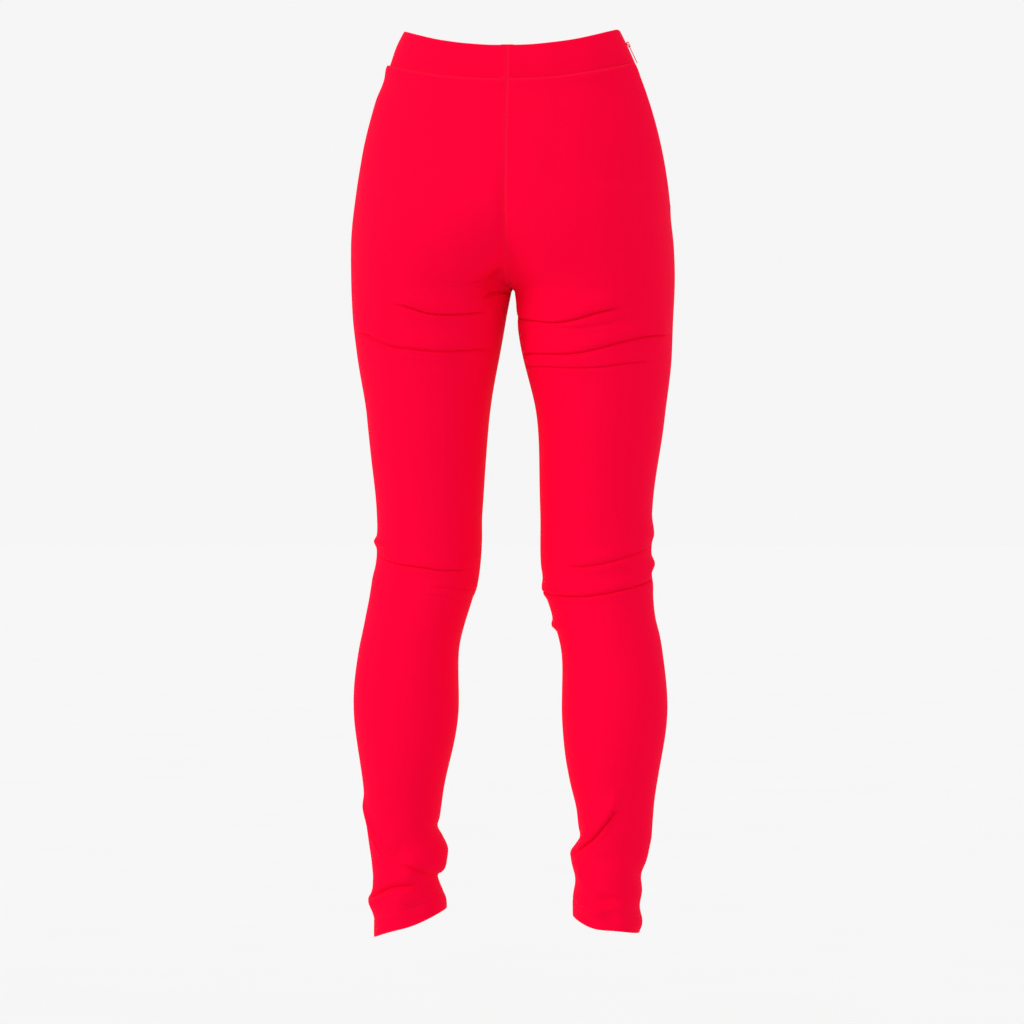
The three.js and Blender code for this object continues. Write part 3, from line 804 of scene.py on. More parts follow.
def stitches(place: Array, along: Array, normal: Array, length: float, radius: float) -> tuple[Array, Array]:
    """A row of stitches: a small pod, thick in its middle, copied to each place along the seam.

    Args:
        place: (count, 3) middles.
        along: (count, 3) unit directions of the seam.
        normal: (count, 3) unit directions out of the cloth.
        length: of one stitch.
        radius: of the thread.
    """
    station = np.linspace(-1, 1, 5)
    swell = np.sqrt(np.clip(1 - station**4, 0.003, 1))
    turn = np.linspace(0, 2 * np.pi, TUBE_SIDES, endpoint=False)
    x = np.repeat(station * length / 2, TUBE_SIDES)
    y = np.outer(swell, np.cos(turn)).ravel() * radius + np.repeat((1 - station**2) * radius, TUBE_SIDES)
    z = np.outer(swell, np.sin(turn)).ravel() * radius
    across = np.cross(along, normal)
    points = place[:, None] + x[None, :, None] * along[:, None] + y[None, :, None] * normal[:, None]
    points = points + z[None, :, None] * across[:, None]
    one = tube_faces(len(station))
    faces = (one[None] + len(x) * np.arange(len(place))[:, None, None]).reshape(-1, 4)
    return points.reshape(-1, 3), faces


# ---------------------------------------------------------------- finishes


Colour = tuple[float, float, float]


class Nodes:
    """A material's node tree, with short ways to add and join nodes."""

    def __init__(self, name: str) -> None:
        """Makes the material and finds its Principled shader."""
        self.material = bpy.data.materials.new(name)
        self.material.use_nodes = True
        self.tree = self.material.node_tree
        self.shader = self.tree.nodes["Principled BSDF"]

    def add(self, kind: str, inputs: dict[str, object] | None = None, **settings: object) -> bpy.types.Node:
        """Adds a node; a socket given as an input is joined, and any other value is set."""
        node = self.tree.nodes.new(kind)
        for key, value in settings.items():
            setattr(node, key, value)
        for key, value in (inputs or {}).items():
            self.put(node.inputs[key], value)
        return node

    def put(self, socket: bpy.types.NodeSocket, value: object) -> None:
        """Joins or sets one input."""
        if isinstance(value, bpy.types.NodeSocket):
            self.tree.links.new(value, socket)
        else:
            socket.default_value = value

    def maths(self, operation: str, a: object, b: object) -> bpy.types.NodeSocket:
        """One sum, product or other operation on two values."""
        node = self.tree.nodes.new("ShaderNodeMath")
        node.operation = operation
        self.put(node.inputs[0], a)
        self.put(node.inputs[1], b)
        return node.outputs[0]

    def mix(self, share: object, a: object, b: object) -> bpy.types.NodeSocket:
        """A blend of two colours."""
        node = self.tree.nodes.new("ShaderNodeMix")
        node.data_type = "RGBA"
        self.put(node.inputs[0], share)
        self.put(node.inputs[MIX_FIRST], a)
        self.put(node.inputs[MIX_SECOND], b)
        return node.outputs[MIX_RESULT]

    def span(self, value: object, low: float, high: float) -> bpy.types.NodeSocket:
        """A value from 0 to 1 spread over a range."""
        node = self.add("ShaderNodeMapRange", {"Value": value, "To Min": low, "To Max": high})
        return node.outputs["Result"]

    def noise(self, vector: object, scale: float, detail: float = 2.0) -> bpy.types.NodeSocket:
        """Smooth noise from 0 to 1, with a scale in lumps for each metre."""
        inputs = {"Vector": vector, "Scale": scale, "Detail": detail}
        return self.add("ShaderNodeTexNoise", inputs).outputs[0]

    def stripes(self, vector: object, pitch: float, turn: float) -> bpy.types.NodeSocket:
        """Rounded stripes a pitch apart, in metres, turned in the plane of the map."""
        wave_period = 2 * np.pi / 20
        turned = self.add("ShaderNodeMapping", {"Vector": vector, "Rotation": (0, 0, turn)})
        inputs = {"Vector": turned.outputs[0], "Scale": wave_period / pitch, "Distortion": 0.0}
        return self.add("ShaderNodeTexWave", inputs, wave_type="BANDS", bands_direction="X").outputs["Fac"]

    def bump(self, height: object, depth: float, strength: float = 1.0) -> None:
        """Raises the surface by a height from 0 to 1 times a depth in metres."""
        node = self.add("ShaderNodeBump", {"Height": height, "Distance": depth, "Strength": strength})
        self.tree.links.new(node.outputs[0], self.shader.inputs["Normal"])


def rgba(colour: Colour) -> tuple[float, float, float, float]:
    """A colour with full cover."""
    return (*colour, 1.0)


@dataclass(frozen=True)
class TwillFinish:
    """Stretch twill: fine slanting ribs crossed by the weft, uneven dye, painted shade in the valleys between
    the ribs and a faint bloom at its rims.
    """

    name: str
    colour: Colour = (0.955, 0.0004, 0.038)
    shade: Colour = (0.80, 0.0003, 0.027)
    worn: Colour = (0.97, 0.012, 0.06)
    rib: float = 0.9 * MM
    weft: float = 0.55 * MM
    slant: float = 1.1
    depth: float = 0.07 * MM
    roughness: tuple[float, float] = (0.72, 0.88)
    specular: float = 0.02
    sheen: float = 0.04
    sheen_roughness: float = 0.4
    sheen_colour: Colour = (1.0, 0.12, 0.22)
    cross: float = 1.9
    fibre_scale: float = 2600
    dye_scale: float = 240
    cloud_scale: float = 14
    shading: float = 0.42
    wearing: float = 0.3

    def material(self) -> bpy.types.Material:
        """Builds the material on the map "cloth" and the object's own coordinates."""
        n = Nodes(self.name)
        cloth = n.add("ShaderNodeUVMap", uv_map="cloth").outputs[0]
        place = n.add("ShaderNodeTexCoord").outputs["Object"]
        ribs = n.stripes(cloth, self.rib, self.slant)
        weft = n.stripes(cloth, self.weft, self.slant + self.cross)
        scales = (self.fibre_scale, self.dye_scale, self.cloud_scale)
        fibre, dye, cloud = (n.noise(place, scale, 3) for scale in scales)
        worn = n.add("ShaderNodeAttribute", attribute_name="wear").outputs["Fac"]
        mottle = n.maths("ADD", n.maths("MULTIPLY", dye, 0.35), n.maths("MULTIPLY", cloud, 0.3))
        # The mottle is the dye's own uneven tone; the term from the ribs is painted shade, a darker colour
        # laid in the valleys between the twill's ribs.
        dye_mottle_and_rib_shade = n.maths("ADD", mottle, n.maths("MULTIPLY", n.maths("SUBTRACT", 1.0, ribs), 0.2))
        colour = n.mix(n.maths("MULTIPLY", dye_mottle_and_rib_shade, self.shading), rgba(self.colour), rgba(self.shade))
        colour = n.mix(n.maths("MULTIPLY", worn, self.wearing), colour, rgba(self.worn))
        n.put(n.shader.inputs["Base Color"], colour)
        n.put(n.shader.inputs["Roughness"], n.span(dye, *self.roughness))
        height = n.maths("ADD", n.maths("MULTIPLY", ribs, 0.6), n.maths("MULTIPLY", weft, 0.25))
        n.bump(n.maths("ADD", height, n.maths("MULTIPLY", fibre, 0.35)), self.depth, 0.6)
        n.shader.inputs["Specular IOR Level"].default_value = self.specular
        n.shader.inputs["Sheen Weight"].default_value = self.sheen
        n.shader.inputs["Sheen Roughness"].default_value = self.sheen_roughness
        n.shader.inputs["Sheen Tint"].default_value = rgba(self.sheen_colour)
        return n.material


@dataclass(frozen=True)
class WovenFinish:
    """A plain weave or a satin ribbon: two crossed sets of stripes and fibre noise."""

    name: str
    colour: Colour
    shade: Colour
    warp: float = 0.5 * MM
    weft: float = 0.7 * MM
    depth: float = 0.06 * MM
    roughness: float = 0.75
    specular: float = 0.15
    sheen: float = 0.05
    fibre_scale: float = 1800
    cloud_scale: float = 90
    unevenness: float = 0.08

    def material(self) -> bpy.types.Material:
        """Builds the material: the weave on the map "cloth", the noise on the object's own coordinates."""
        n = Nodes(self.name)
        cloth = n.add("ShaderNodeUVMap", uv_map="cloth").outputs[0]
        place = n.add("ShaderNodeTexCoord").outputs["Object"]
        warp, weft = n.stripes(cloth, self.warp, 0.0), n.stripes(cloth, self.weft, np.pi / 2)
        fibre, cloud = n.noise(place, self.fibre_scale, 3), n.noise(place, self.cloud_scale, 3)
        weave = n.maths("MULTIPLY", warp, weft)
        share = n.maths("ADD", n.maths("MULTIPLY", cloud, 0.4), n.maths("MULTIPLY", weave, 0.35))
        n.put(n.shader.inputs["Base Color"], n.mix(share, rgba(self.colour), rgba(self.shade)))
        smoother, rougher = self.roughness - self.unevenness, self.roughness + self.unevenness
        n.put(n.shader.inputs["Roughness"], n.span(fibre, smoother, rougher))
        n.bump(n.maths("ADD", weave, n.maths("MULTIPLY", fibre, 0.4)), self.depth, 0.7)
        n.shader.inputs["Specular IOR Level"].default_value = self.specular
        n.shader.inputs["Sheen Weight"].default_value = self.sheen
        return n.material


@dataclass(frozen=True)
class ThreadFinish:
    """Spun thread: a fine twisted ply over a slightly uneven dye."""

    name: str
    colour: Colour
    shade: Colour
    roughness: float = 0.6
    unevenness: float = 0.1
    specular: float = 0.2
    ply: float = 0.22 * MM
    twist: float = 0.7
    dye_scale: float = 700

    def material(self) -> bpy.types.Material:
        """Builds the material on the object's own coordinates."""
        n = Nodes(self.name)
        place = n.add("ShaderNodeTexCoord").outputs["Object"]
        ply, dye = n.stripes(place, self.ply, self.twist), n.noise(place, self.dye_scale, 2)
        n.put(n.shader.inputs["Base Color"], n.mix(dye, rgba(self.colour), rgba(self.shade)))
        smoother, rougher = self.roughness - self.unevenness, self.roughness + self.unevenness
        n.put(n.shader.inputs["Roughness"], n.span(dye, smoother, rougher))
        n.bump(ply, 0.03 * MM, 0.6)
        n.shader.inputs["Specular IOR Level"].default_value = self.specular
        return n.material


@dataclass(frozen=True)
class HardFinish:
    """Moulded plastic, enamel or plated metal, with rubbed patches and fine scratches."""

    name: str
    colour: Colour
    worn: Colour
    metallic: float
    roughness: tuple[float, float]
    specular: float = 0.5
    grain: float = 0.15
    scratch_scale: float = 5200
    patch_scale: float = 420
    rubbed_above: float = 0.62
    rubbed_share: float = 0.5

    def material(self) -> bpy.types.Material:
        """Builds the material on the object's own coordinates."""
        n = Nodes(self.name)
        place = n.add("ShaderNodeTexCoord").outputs["Object"]
        stretched = n.add("ShaderNodeMapping", {"Vector": place, "Scale": (1.0, 1.0, self.grain)}).outputs[0]
        scratch, patch = n.noise(stretched, self.scratch_scale, 2), n.noise(place, self.patch_scale, 4)
        bare = n.maths("GREATER_THAN", patch, self.rubbed_above)
        rubbed = n.maths("MULTIPLY", bare, self.rubbed_share)
        n.put(n.shader.inputs["Base Color"], n.mix(rubbed, rgba(self.colour), rgba(self.worn)))
        n.put(n.shader.inputs["Roughness"], n.span(patch, *self.roughness))
        n.bump(n.maths("ADD", scratch, patch), 0.012 * MM, 0.5)
        n.shader.inputs["Metallic"].default_value = self.metallic
        n.shader.inputs["Specular IOR Level"].default_value = self.specular
        return n.material


@dataclass
class Finishes:
    """Every finish of the object, made once."""

    cloth: bpy.types.Material = field(init=False)
    wrong_side: bpy.types.Material = field(init=False)
    facing: bpy.types.Material = field(init=False)
    interlining: bpy.types.Material = field(init=False)
    tape: bpy.types.Material = field(init=False)
    thread: bpy.types.Material = field(init=False)
    coil: bpy.types.Material = field(init=False)
    enamel: bpy.types.Material = field(init=False)
    nickel: bpy.types.Material = field(init=False)
    ribbon: bpy.types.Material = field(init=False)

    def __post_init__(self) -> None:
        """Makes the materials."""
        dull = {"colour": (0.74, 0.006, 0.035), "shade": (0.58, 0.004, 0.025), "rib": 1.1 * MM}
        self.cloth = TwillFinish("stretch_twill").material()
        self.wrong_side = TwillFinish("stretch_twill_wrong_side", slant=-1.1, **dull).material()
        self.facing = TwillFinish("facing_twill", slant=0.9, **dull).material()
        self.interlining = WovenFinish(
            "interlining", (0.86, 0.84, 0.78), (0.74, 0.72, 0.66), sheen=0.0
        ).material()
        self.tape = WovenFinish("zip_tape", (0.62, 0.008, 0.035), (0.46, 0.005, 0.026)).material()
        self.thread = ThreadFinish("thread", (0.82, 0.006, 0.04), (0.6, 0.004, 0.028)).material()
        self.coil = HardFinish(
            "zip_coil", (0.7, 0.002, 0.032), (0.66, 0.006, 0.04), 0.0, (0.42, 0.58), 0.12
        ).material()
        self.enamel = HardFinish(
            "zip_enamel", (0.9, 0.0008, 0.036), (0.86, 0.006, 0.045), 0.0, (0.42, 0.58), 0.08
        ).material()
        self.nickel = HardFinish(
            "nickel_plate", (0.66, 0.66, 0.64), (0.5, 0.47, 0.42), 1.0, (0.2, 0.38)
        ).material()
        self.ribbon = WovenFinish(
            "satin_ribbon", (0.92, 0.91, 0.88), (0.8, 0.79, 0.75), 0.3 * MM, 0.3 * MM, 0.03 * MM, 0.42, 0.4
        ).material()


# ---------------------------------------------------------------- sub-assemblies


@dataclass
class Panels:
    """The four leg panels, with turned seam edges, turned-up hems, overlocked edges and hem stitching."""

    form: BodyForm
    drape: Drape
    finishes: Finishes
    columns: int = 62
    fine: tuple[tuple[float, float], ...] = ((0.300, 0.405), (0.585, 0.672), (0.880, 1.034))
    fine_row: float = 1.1 * MM
    wide_row: float = 3.6 * MM
    stitch_pitch: float = 3.1 * MM
    stitch_length: float = 2.4 * MM
    stitch_radius: float = 0.14 * MM
    loop_pitch: float = 1.25 * MM
    loop_reach: tuple[float, float] = (-2.2 * MM, 0.3 * MM)
    loop_radius: float = 0.13 * MM

    def drops(self) -> Array:
        """Levels of the rows: close together where the folds are, wider elsewhere."""
        spots = [self.form.band_height + SEAM_GAP]
        while spots[-1] < self.form.hem_drop - 0.5 * MM:
            fine = any(low <= spots[-1] <= high for low, high in self.fine)
            spots.append(spots[-1] + (self.fine_row if fine else self.wide_row))
        return np.array([*spots[:-1], self.form.hem_drop])

    def layer(self, side: Side, half: Half) -> Layer:
        """One panel's layer."""
        centre = Edge.turned(HIDDEN_GAP, FOLD_RADIUS, ALLOWANCE, HIDDEN_REACH)
        seam = Edge.turned(SEAM_GAP, FOLD_RADIUS, ALLOWANCE, 2 * HIDDEN_REACH)
        return Layer(
            self.form,
            self.drape,
            ((side, half),),
            self.drops(),
            top=Edge.turned(0, FOLD_RADIUS, ALLOWANCE - 1 * MM),
            bottom=Edge.turned(0, FOLD_RADIUS, HEM_TURN),
            start=centre,
            end=seam,
            columns=self.columns,
            open_gap=SLIT - SEAM_GAP,
            open_ends=(False, side is Side.RIGHT),
        )

    def threads(self, name: str, layer: Layer) -> bpy.types.Object:
        """Hem stitches outside, and overlock loops round the raw edges inside."""
        line = np.array([self.form.hem_drop - HEM_STITCH] * 3) + np.array([-1, 0, 1]) * 0.4 * MM
        places = np.arange(3 * MM, 0.14, self.stitch_pitch)

        def spread(length: Array) -> Array:
            """Even places that fill the row's length."""
            return places / places[-1] * (length - 3 * MM)

        points, normals, _ = layer.at(line, spread, np.full((3, len(places)), 0.38 * MM))
        along = unit(np.gradient(points[1], axis=0))
        parts = [stitches(points[1], along, normals[1], self.stitch_length, self.stitch_radius)]
        rows = np.arange(self.form.band_height + ALLOWANCE, self.form.hem_drop - HEM_TURN, self.loop_pitch)
        wobble = np.where(np.arange(len(rows)) % 2, self.loop_reach[1], self.loop_reach[0])
        for from_end in (False, True):
            reach = ALLOWANCE + wobble[:, None]

            def edge(length: Array, from_end: bool = from_end, reach: Array = reach) -> Array:
                """A zigzag beside the allowance's raw edge."""
                return length - reach if from_end else reach

            path = layer.at(rows, edge, np.full((len(rows), 1), 2 * FOLD_RADIUS + 0.12 * MM))[0][:, 0]
            parts.append(tube(path, self.loop_radius))
        return mesh_object(name, *gathered(parts), [self.finishes.thread])

    def build(self, side: Side, half: Half) -> bpy.types.Object:
        node = f"{half.label}_panel_{side.label}"
        layer = self.layer(side, half)
        piece = cloth_object(f"cloth_{node}", layer, [self.finishes.cloth, self.finishes.wrong_side])
        threads = self.threads(f"threads_{node}", layer)
        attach(piece, "trousers")
        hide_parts(node)
        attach(threads, "trousers")
        LOG.info("%s: %d points", piece.name, len(piece.data.vertices))
        return piece

    def build_all(self) -> None:
        """Builds the four panels."""
        for side in Side:
            for half in Half:
                self.build(side, half)


@dataclass
class Waistband:
    """The contoured waistband: shells outside, a stiffening layer, and facings inside."""

    form: BodyForm
    drape: Drape
    finishes: Finishes
    top_radius: float = 1.5 * MM
    interlining_inset: float = 0.9 * MM
    interlining_top: float = 3.5 * MM
    interlining_short: float = 1 * MM
    facing_inset: float = 3.1 * MM
    facing_top: float = 1.2 * MM
    facing_set_back: float = 6.5 * MM
    tape_width: float = 12.5 * MM
    turned_top: float = 2.6 * MM
    turned_bottom: float = 6 * MM
    turned_ends: float = 7 * MM
    stitch_pitch: float = 3 * MM
    stitch_length: float = 2.3 * MM
    stitch_radius: float = 0.14 * MM

    def parts(self) -> list[tuple[str, tuple[tuple[Side, Half], ...], int, tuple[bool, bool]]]:
        """Each third of the band: its name's end, its quarters, its columns and which ends open."""
        return [
            ("back_left", ((Side.LEFT, Half.BACK),), 60, (False, False)),
            ("back_right", ((Side.RIGHT, Half.BACK),), 60, (False, True)),
            ("front", ((Side.LEFT, Half.FRONT), (Side.RIGHT, Half.FRONT)), 120, (False, True)),
        ]

    def layer(
        self,
        quarters: tuple[tuple[Side, Half], ...],
        columns: int,
        edges: tuple[Edge, Edge],
        ends: tuple[Edge, Edge],
        drops: tuple[float, float],
        inset: float,
        opening: tuple[bool, bool] = (False, False),
    ) -> Layer:
        """A layer of the band between two drops."""
        return Layer(
            self.form,
            self.drape,
            quarters,
            np.linspace(*drops, 24),
            top=edges[0],
            bottom=edges[1],
            start=ends[0],
            end=ends[1],
            columns=columns,
            inset=inset,
            open_gap=SLIT - SEAM_GAP if any(opening) else 0.0,
            open_ends=opening,
        )

    def build(self) -> None:
        """Builds the three layers of each third of the band."""
        seam = Edge.turned(SEAM_GAP, FOLD_RADIUS, self.turned_ends)
        centre = Edge.turned(HIDDEN_GAP, FOLD_RADIUS, self.turned_ends, HIDDEN_REACH)
        band_end = self.form.band_height - SEAM_GAP
        for name, quarters, columns, opening in self.parts():
            top = Edge.turned(0, self.top_radius, self.turned_top)
            bottom = Edge.turned(0, FOLD_RADIUS, self.turned_bottom)
            ends = (seam if name == "front" else centre, seam)
            shell = self.layer(quarters, columns, (top, bottom), ends, (0.0, band_end), 0.0, opening)
            sides = [self.finishes.cloth, self.finishes.wrong_side]
            piece = cloth_object(f"cloth_waistband_{name}", shell, sides)
            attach(piece, "trousers")
            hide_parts(f"waistband_{name}")

            clear = self.tape_width + 0.3 * MM if opening[1] else SEAM_GAP
            ends = (Edge.raw(SEAM_GAP), Edge.raw(clear))
            raw = (Edge.raw(0), Edge.raw(0))
            drops = (self.interlining_top, band_end - self.interlining_short)
            stiff = self.layer(quarters, columns, raw, ends, drops, self.interlining_inset)
            inner = cloth_object(f"interlining_{name}", stiff, [self.finishes.interlining], 0.5 * MM)
            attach(inner, "trousers")
            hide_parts(f"waistband_interlining_{name}")

            clear = self.facing_set_back if opening[1] else SEAM_GAP
            ends = (Edge.raw(SEAM_GAP), Edge.raw(clear))
            face = self.layer(quarters, columns, raw, ends, (self.facing_top, band_end), self.facing_inset)
            facing = cloth_object(f"cloth_facing_{name}", face, [self.finishes.facing], CLOTH)
            threads = self.understitch(f"threads_facing_{name}", face, clear)
            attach(facing, "trousers")
            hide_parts(f"waistband_facing_{name}")
            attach(threads, "trousers")
            LOG.info("waistband %s: three layers", name)

    def understitch(self, name: str, face: Layer, clear: float) -> bpy.types.Object:
        """Two rows of stitches inside, just below the top and just above the lower edge."""
        parts = []
        for level in (self.facing_top + 2.2 * MM, self.form.band_height - 2.6 * MM):
            places = np.arange(2.5 * MM, 0.19 * len(face.quarters), self.stitch_pitch)

            def spread(length: Array, places: Array = places) -> Array:
                """Even places that fill the row's length."""
                return places / places[-1] * (length - clear - 2 * MM)

            drop = level + np.array([-1, 0, 1]) * 0.4 * MM
            points, normals, _ = face.at(drop, spread, np.full((3, len(places)), CLOTH + 0.08 * MM))
            along = unit(np.gradient(points[1], axis=0))
            parts.append(stitches(points[1], along, -normals[1], self.stitch_length, self.stitch_radius))
        return mesh_object(name, *gathered(parts), [self.finishes.thread])


@dataclass
class SideZip:
    """The concealed zip: woven tapes, wound coils and a bar tack; its slider, pull and stops are made with
    the metalwork.
    """

    form: BodyForm
    drape: Drape
    finishes: Finishes
    top: float = 11 * MM
    end: float = 0.0
    tape_above: float = 8 * MM
    tape_below: float = 14 * MM
    tape_width: float = 12.5 * MM
    tape_inset: float = 1.5 * MM
    tape_thickness: float = 0.5 * MM
    coil_face: float = 2.3 * MM
    coil_size: tuple[float, float] = (1.6 * MM, 1.4 * MM)
    stop_length: float = 2.6 * MM
    pitch: float = 1.15 * MM
    wire: float = 0.26 * MM
    coil_end: float = 0.4 * MM
    turn_steps: int = 10
    tape_follows: float = 0.9
    tape_rows: int = 160
    tape_columns: int = 14
    tack_count: int = 9
    tack_pitch: float = 0.42 * MM
    tack_below: float = 5 * MM
    tack_length: float = 5.5 * MM
    tack_radius: float = 0.17 * MM

    def on_seam(self, distance: Array, depth: Array, y: Array) -> Array:
        """Points beside the side seam: an arc of its radius less the depth, at a distance and a y."""
        angle = self.form.seam_angle(distance)
        radius = self.form.side_radius - depth
        x = self.form.arc_centre + radius * np.cos(angle)
        return np.stack(np.broadcast_arrays(x, y, -self.form.hip_drop + radius * np.sin(angle)), -1)

    def tape(self, half: Half) -> bpy.types.Object:
        """A flat woven ribbon: the seam's arc, less an inset that grows away from it as the panel's does."""
        along = np.linspace(self.top - self.tape_above, self.end + self.tape_below, self.tape_rows)[:, None]
        across = np.linspace(SLIT + 0.05 * MM, self.tape_width, self.tape_columns)[None, :]
        drop = self.form.seam_drop(along)
        depth_y = self.form.level(Side.RIGHT, half, drop[:, 0])[3][:, None]
        power = self.form.roundness
        fall_away = self.form.outer(Side.RIGHT, drop[:, 0])[:, None] * (across / depth_y) ** power
        face = self.tape_inset + fall_away / power * self.tape_follows
        points = self.on_seam(along, face, half.value * across)
        faces = grid_faces(len(along), across.shape[1])
        faces = faces if half is Half.BACK else faces[:, ::-1]
        uv = np.stack(np.broadcast_arrays(across, -along), -1).reshape(-1, 2)
        piece = mesh_object(f"tape_{half.label}", points.reshape(-1, 3), faces, [self.finishes.tape], uv)
        solid = piece.modifiers.new("thickness", "SOLIDIFY")
        solid.thickness, solid.offset = self.tape_thickness * 0.8, -1
        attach(piece, "trousers")
        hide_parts(f"zip_tape_{half.label}")
        return piece

    def coil(self, half: Half) -> bpy.types.Object:
        """A wound filament: a tube on an ellipse that moves down the seam by a pitch each turn."""
        length = self.end - self.top - self.stop_length
        turns = int(length / self.pitch)
        turn = np.linspace(0, 2 * np.pi * turns, turns * self.turn_steps + 1)
        start = self.top + self.stop_length + self.coil_end
        distance = start + (length - 2 * self.coil_end) * turn / turn[-1]
        wide, deep = self.coil_size[0] / 2 - self.wire, self.coil_size[1] / 2 - self.wire
        y = half.value * (SLIT + self.coil_size[0] / 2 + wide * np.cos(turn))
        path = self.on_seam(distance, self.coil_face + self.coil_size[1] / 2 + deep * np.sin(turn), y)
        piece = mesh_object(f"coil_{half.label}", *tube(path, self.wire), [self.finishes.coil])
        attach(piece, "trousers")
        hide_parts(f"zip_coil_{half.label}")
        return piece

    def bar_tack(self) -> bpy.types.Object:
        """Close stitches across the seam just below the zip's end."""
        count = self.tack_count
        distance = self.end + self.tack_below + np.arange(count) * self.tack_pitch
        place = self.on_seam(distance, np.zeros(count), np.zeros(count))
        along = np.tile([0.0, 1.0, 0.0], (count, 1))
        normal = np.tile([1.0, 0.0, 0.0], (count, 1))
        tack = stitches(place, along, normal, self.tack_length, self.tack_radius)
        piece = mesh_object("bar_tack", *tack, [self.finishes.thread])
        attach(piece, "trousers")
        return piece

    def build(self) -> None:
        """Builds the zip."""
        for half in Half:
            self.tape(half)
            self.coil(half)
        self.bar_tack()
        LOG.info("zip: tapes, coils and bar tack")


@dataclass
class Metalwork:
    """Slider, pull, stops, hook and eye: copies of the frame's own shapes with their edges rounded."""

    finishes: Finishes
    rounding: float = 0.16 * MM
    segments: int = 3
    merge: float = 0.002 * MM
    flat_angle: float = 0.02

    def refined(
        self, node: str, cad: bpy.types.Object, material: bpy.types.Material, body: str
    ) -> None:
        """Copies a node's mesh, merges its corners and bevels its edges.

        Args:
            node: the node's name.
            cad: its object.
            material: the finish.
            body: what it rides on.
        """
        mesh = cad.data.copy()
        work = bmesh.new()
        work.from_mesh(mesh)
        bmesh.ops.remove_doubles(work, verts=work.verts, dist=self.merge)
        bmesh.ops.dissolve_limit(work, angle_limit=self.flat_angle, verts=work.verts, edges=work.edges)
        bmesh.ops.recalc_face_normals(work, faces=work.faces)
        work.to_mesh(mesh)
        work.free()
        mesh.materials.clear()
        mesh.materials.append(material)
        mesh.polygons.foreach_set("use_smooth", np.ones(len(mesh.polygons), bool))
        piece = bpy.data.objects.new(f"metal_{node}", mesh)
        bpy.context.scene.collection.objects.link(piece)
        bevel = piece.modifiers.new("rounding", "BEVEL")
        bevel.width, bevel.segments, bevel.limit_method = self.rounding, self.segments, "ANGLE"
        bevel.harden_normals = True
        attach(piece, body)
        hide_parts(node)
        LOG.info("%s on %s", piece.name, body)

    def build(self, nodes: dict[str, bpy.types.Object]) -> None:
        """Builds all the metal pieces."""
        self.refined("zip_slider", nodes["zip_slider"], self.finishes.enamel, "slider")
        self.refined("zip_pull", nodes["zip_pull"], self.finishes.enamel, "pull")
        for node in ("zip_top_stop_back", "zip_top_stop_front", "zip_bottom_stop", "waist_hook", "waist_eye"):
            self.refined(node, nodes[node], self.finishes.nickel, "trousers")


@dataclass
class Labels:
    """Two blank satin labels: a small one at the centre back, and a longer one in the left side seam."""

    form: BodyForm
    drape: Drape
    finishes: Finishes
    size_half: float = 15 * MM
    size_height: float = 16 * MM
    size_inset: float = 3.9 * MM
    care_top: float = 96 * MM
    care_height: float = 46 * MM
    care_width: float = 24 * MM
    care_gap: float = 0.3 * MM
    care_inset: float = 1.5 * MM
    thickness: float = 0.3 * MM
    size_grid: tuple[int, int] = (12, 24)
    care_grid: tuple[int, int] = (20, 14)

    def declare(self, piece: bpy.types.Object, node: str) -> None:
        """Gives a label its thickness and its body, hides the frame's own node and logs it."""
        solid = piece.modifiers.new("thickness", "SOLIDIFY")
        solid.thickness, solid.offset = self.thickness, -1
        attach(piece, "trousers")
        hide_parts(node)
        LOG.info("%s", piece.name)

    def size(self) -> None:
        """The centre back label: the back's own curve, let in behind the facing."""
        rows, columns = self.size_grid
        drop = (self.form.band_height - self.size_height) / 2 + np.linspace(0, self.size_height, rows)
        x = np.linspace(-self.size_half, self.size_half, columns)[None, :]
        _, wide, y, depth = (c[:, None] for c in self.form.level(Side.LEFT, Half.BACK, drop))
        inside, power = depth - self.size_inset, self.form.roundness
        out = inside * (1 - np.abs(x / wide) ** power) ** (1 / power)
        z = -drop[:, None] - self.form.back_dip * (out / inside) ** 2
        points = np.stack(np.broadcast_arrays(x, y - out, z), -1)
        uv = np.stack(np.broadcast_arrays(x, -drop[:, None]), -1).reshape(-1, 2)
        faces = grid_faces(rows, columns)
        piece = mesh_object("label_size", points.reshape(-1, 3), faces, [self.finishes.ribbon], uv)
        self.declare(piece, "size_label")

    def care(self) -> None:
        """The side label, caught in the left side seam and lying on the back panel's wrong side."""
        rows, columns = self.care_grid
        drop = np.linspace(self.care_top, self.care_top + self.care_height, rows)
        raw = Edge.raw(0)
        layer = Layer(
            self.form,
            self.drape,
            ((Side.LEFT, Half.BACK),),
            drop,
            top=raw,
            bottom=raw,
            start=raw,
            end=raw,
            columns=columns,
            inset=self.care_inset,
        )
        across = np.linspace(self.care_width, self.care_gap, columns)
        points, normals, along = layer.at(drop, lambda length: length - across, np.zeros(self.care_grid))
        faces = faced(grid_faces(rows, columns), points, normals)
        uv = np.stack([along, -np.broadcast_to(drop[:, None], along.shape)], -1).reshape(-1, 2)
        piece = mesh_object("label_care", points.reshape(-1, 3), faces, [self.finishes.ribbon], uv)
        self.declare(piece, "care_label")

    def build(self) -> None:
        """Builds both labels."""
        self.size()
        self.care()


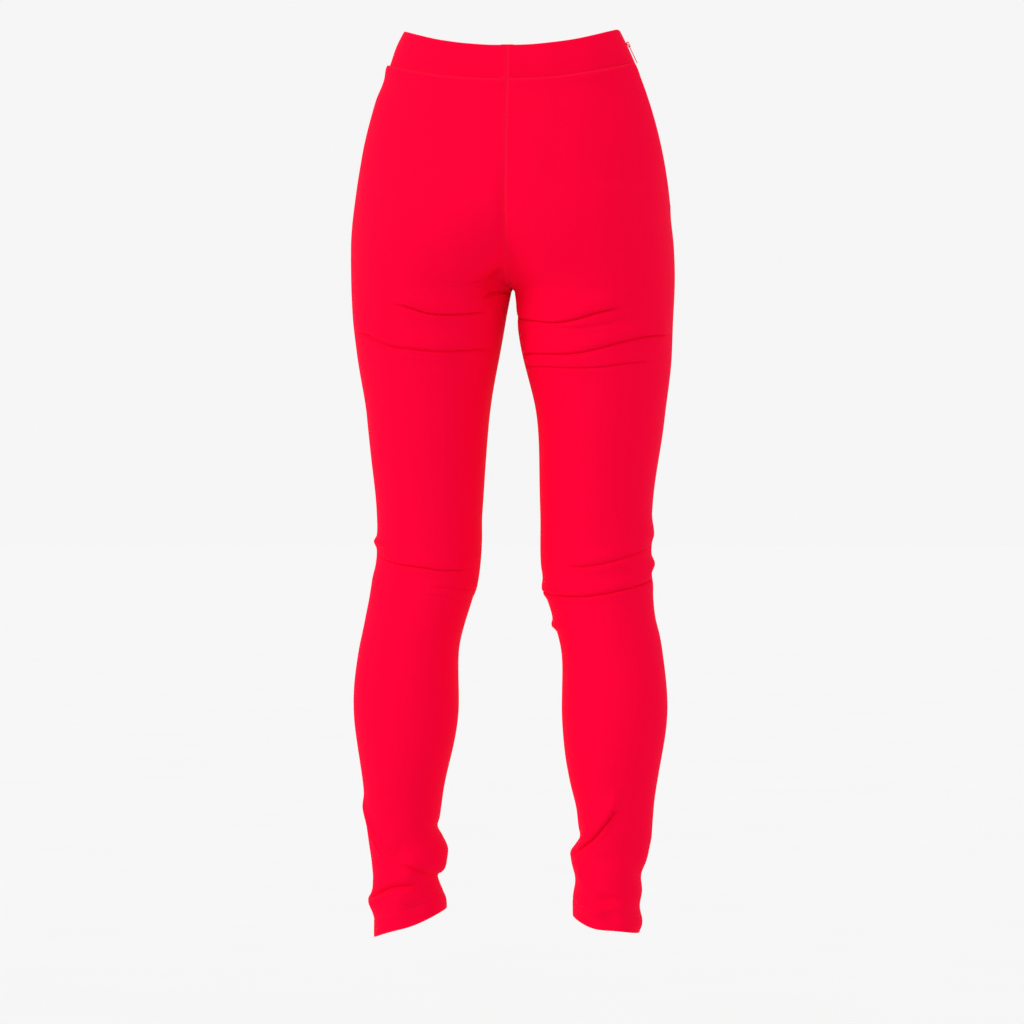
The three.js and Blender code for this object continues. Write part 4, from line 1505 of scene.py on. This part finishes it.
@dataclass
class Studio:
    """A plain pale floor that glows a little, an even pale surround, one broad light and the camera."""

    distance: float = 5.0
    yaw: float = 4.0
    eye: float = -0.558
    lens: float = 151.5
    floor: float = -1.30
    floor_reach: float = 90.0
    floor_greys: tuple[float, float] = (0.40, 0.42)
    floor_glow: float = 0.495
    pale: float = 0.92
    sun: float = 0.95
    sun_angle: float = 26.0
    sun_way: tuple[float, float, float] = (0.85, 0.5, -0.5)

    def camera(self) -> None:
        """A level camera behind the wearer, turned a little to the right."""
        data = bpy.data.cameras.new("camera")
        data.lens, data.sensor_width = self.lens, 36
        camera = bpy.data.objects.new("camera", data)
        turn = np.radians(self.yaw)
        place = Vector((self.distance * np.sin(turn), -self.distance * np.cos(turn), self.eye))
        camera.location = place
        camera.rotation_euler = (Vector((0, 0, self.eye)) - place).to_track_quat("-Z", "Y").to_euler()
        bpy.context.scene.collection.objects.link(camera)
        bpy.context.scene.camera = camera

    def light(self) -> None:
        """The surround's even light, and a broad sun from the left and above."""
        world = bpy.data.worlds.new("surround")
        world.use_nodes = True
        world.node_tree.nodes["Background"].inputs[0].default_value = rgba((self.pale,) * 3)
        bpy.context.scene.world = world
        data = bpy.data.lights.new("key", "SUN")
        data.energy, data.angle = self.sun, np.radians(self.sun_angle)
        key = bpy.data.objects.new("key", data)
        key.rotation_euler = Vector(self.sun_way).to_track_quat("-Z", "Y").to_euler()
        bpy.context.scene.collection.objects.link(key)

    def ground(self) -> None:
        """A wide flat square: one face between four corners."""
        reach = self.floor_reach
        points = np.array([(x, y, self.floor) for y in (-reach, reach) for x in (-reach, reach)])
        n = Nodes("floor")
        place = n.add("ShaderNodeTexCoord").outputs["Object"]
        darker, lighter = (rgba((grey,) * 3) for grey in self.floor_greys)
        n.put(n.shader.inputs["Base Color"], n.mix(n.noise(place, 3), darker, lighter))
        n.shader.inputs["Roughness"].default_value = 0.9
        n.shader.inputs["Specular IOR Level"].default_value = 0.0
        n.shader.inputs["Emission Color"].default_value = rgba((1.0, 1.0, 1.0))
        n.shader.inputs["Emission Strength"].default_value = self.floor_glow
        floor = mesh_object("floor", points, np.array([[0, 1, 3, 2]]), [n.material])

    def build(self) -> None:
        """Builds the studio."""
        bpy.context.scene.view_settings.view_transform = "Standard"
        self.camera()
        self.light()
        self.ground()
        LOG.info("studio")


ZIP_END_ABOVE_HIP = 52 * MM


def main() -> None:
    """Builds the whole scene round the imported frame."""
    logging.basicConfig(level=logging.INFO, format="%(message)s")
    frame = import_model()
    Studio().build()
    hip_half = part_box("back_panel_right")[1].x
    form = BodyForm(hip_half=round(hip_half, 5))
    seam_to_hip = np.arcsin(form.hip_drop / form.side_radius) * form.side_radius
    zip_length = seam_to_hip - ZIP_END_ABOVE_HIP
    drape = Drape(form, float(form.seam_drop(zip_length)))
    finishes = Finishes()
    Panels(form, drape, finishes).build_all()
    Waistband(form, drape, finishes).build()
    SideZip(form, drape, finishes, end=float(zip_length)).build()
    Metalwork(finishes).build(frame["nodes"])
    Labels(form, drape, finishes).build()


if __name__ == "__main__":
    main()
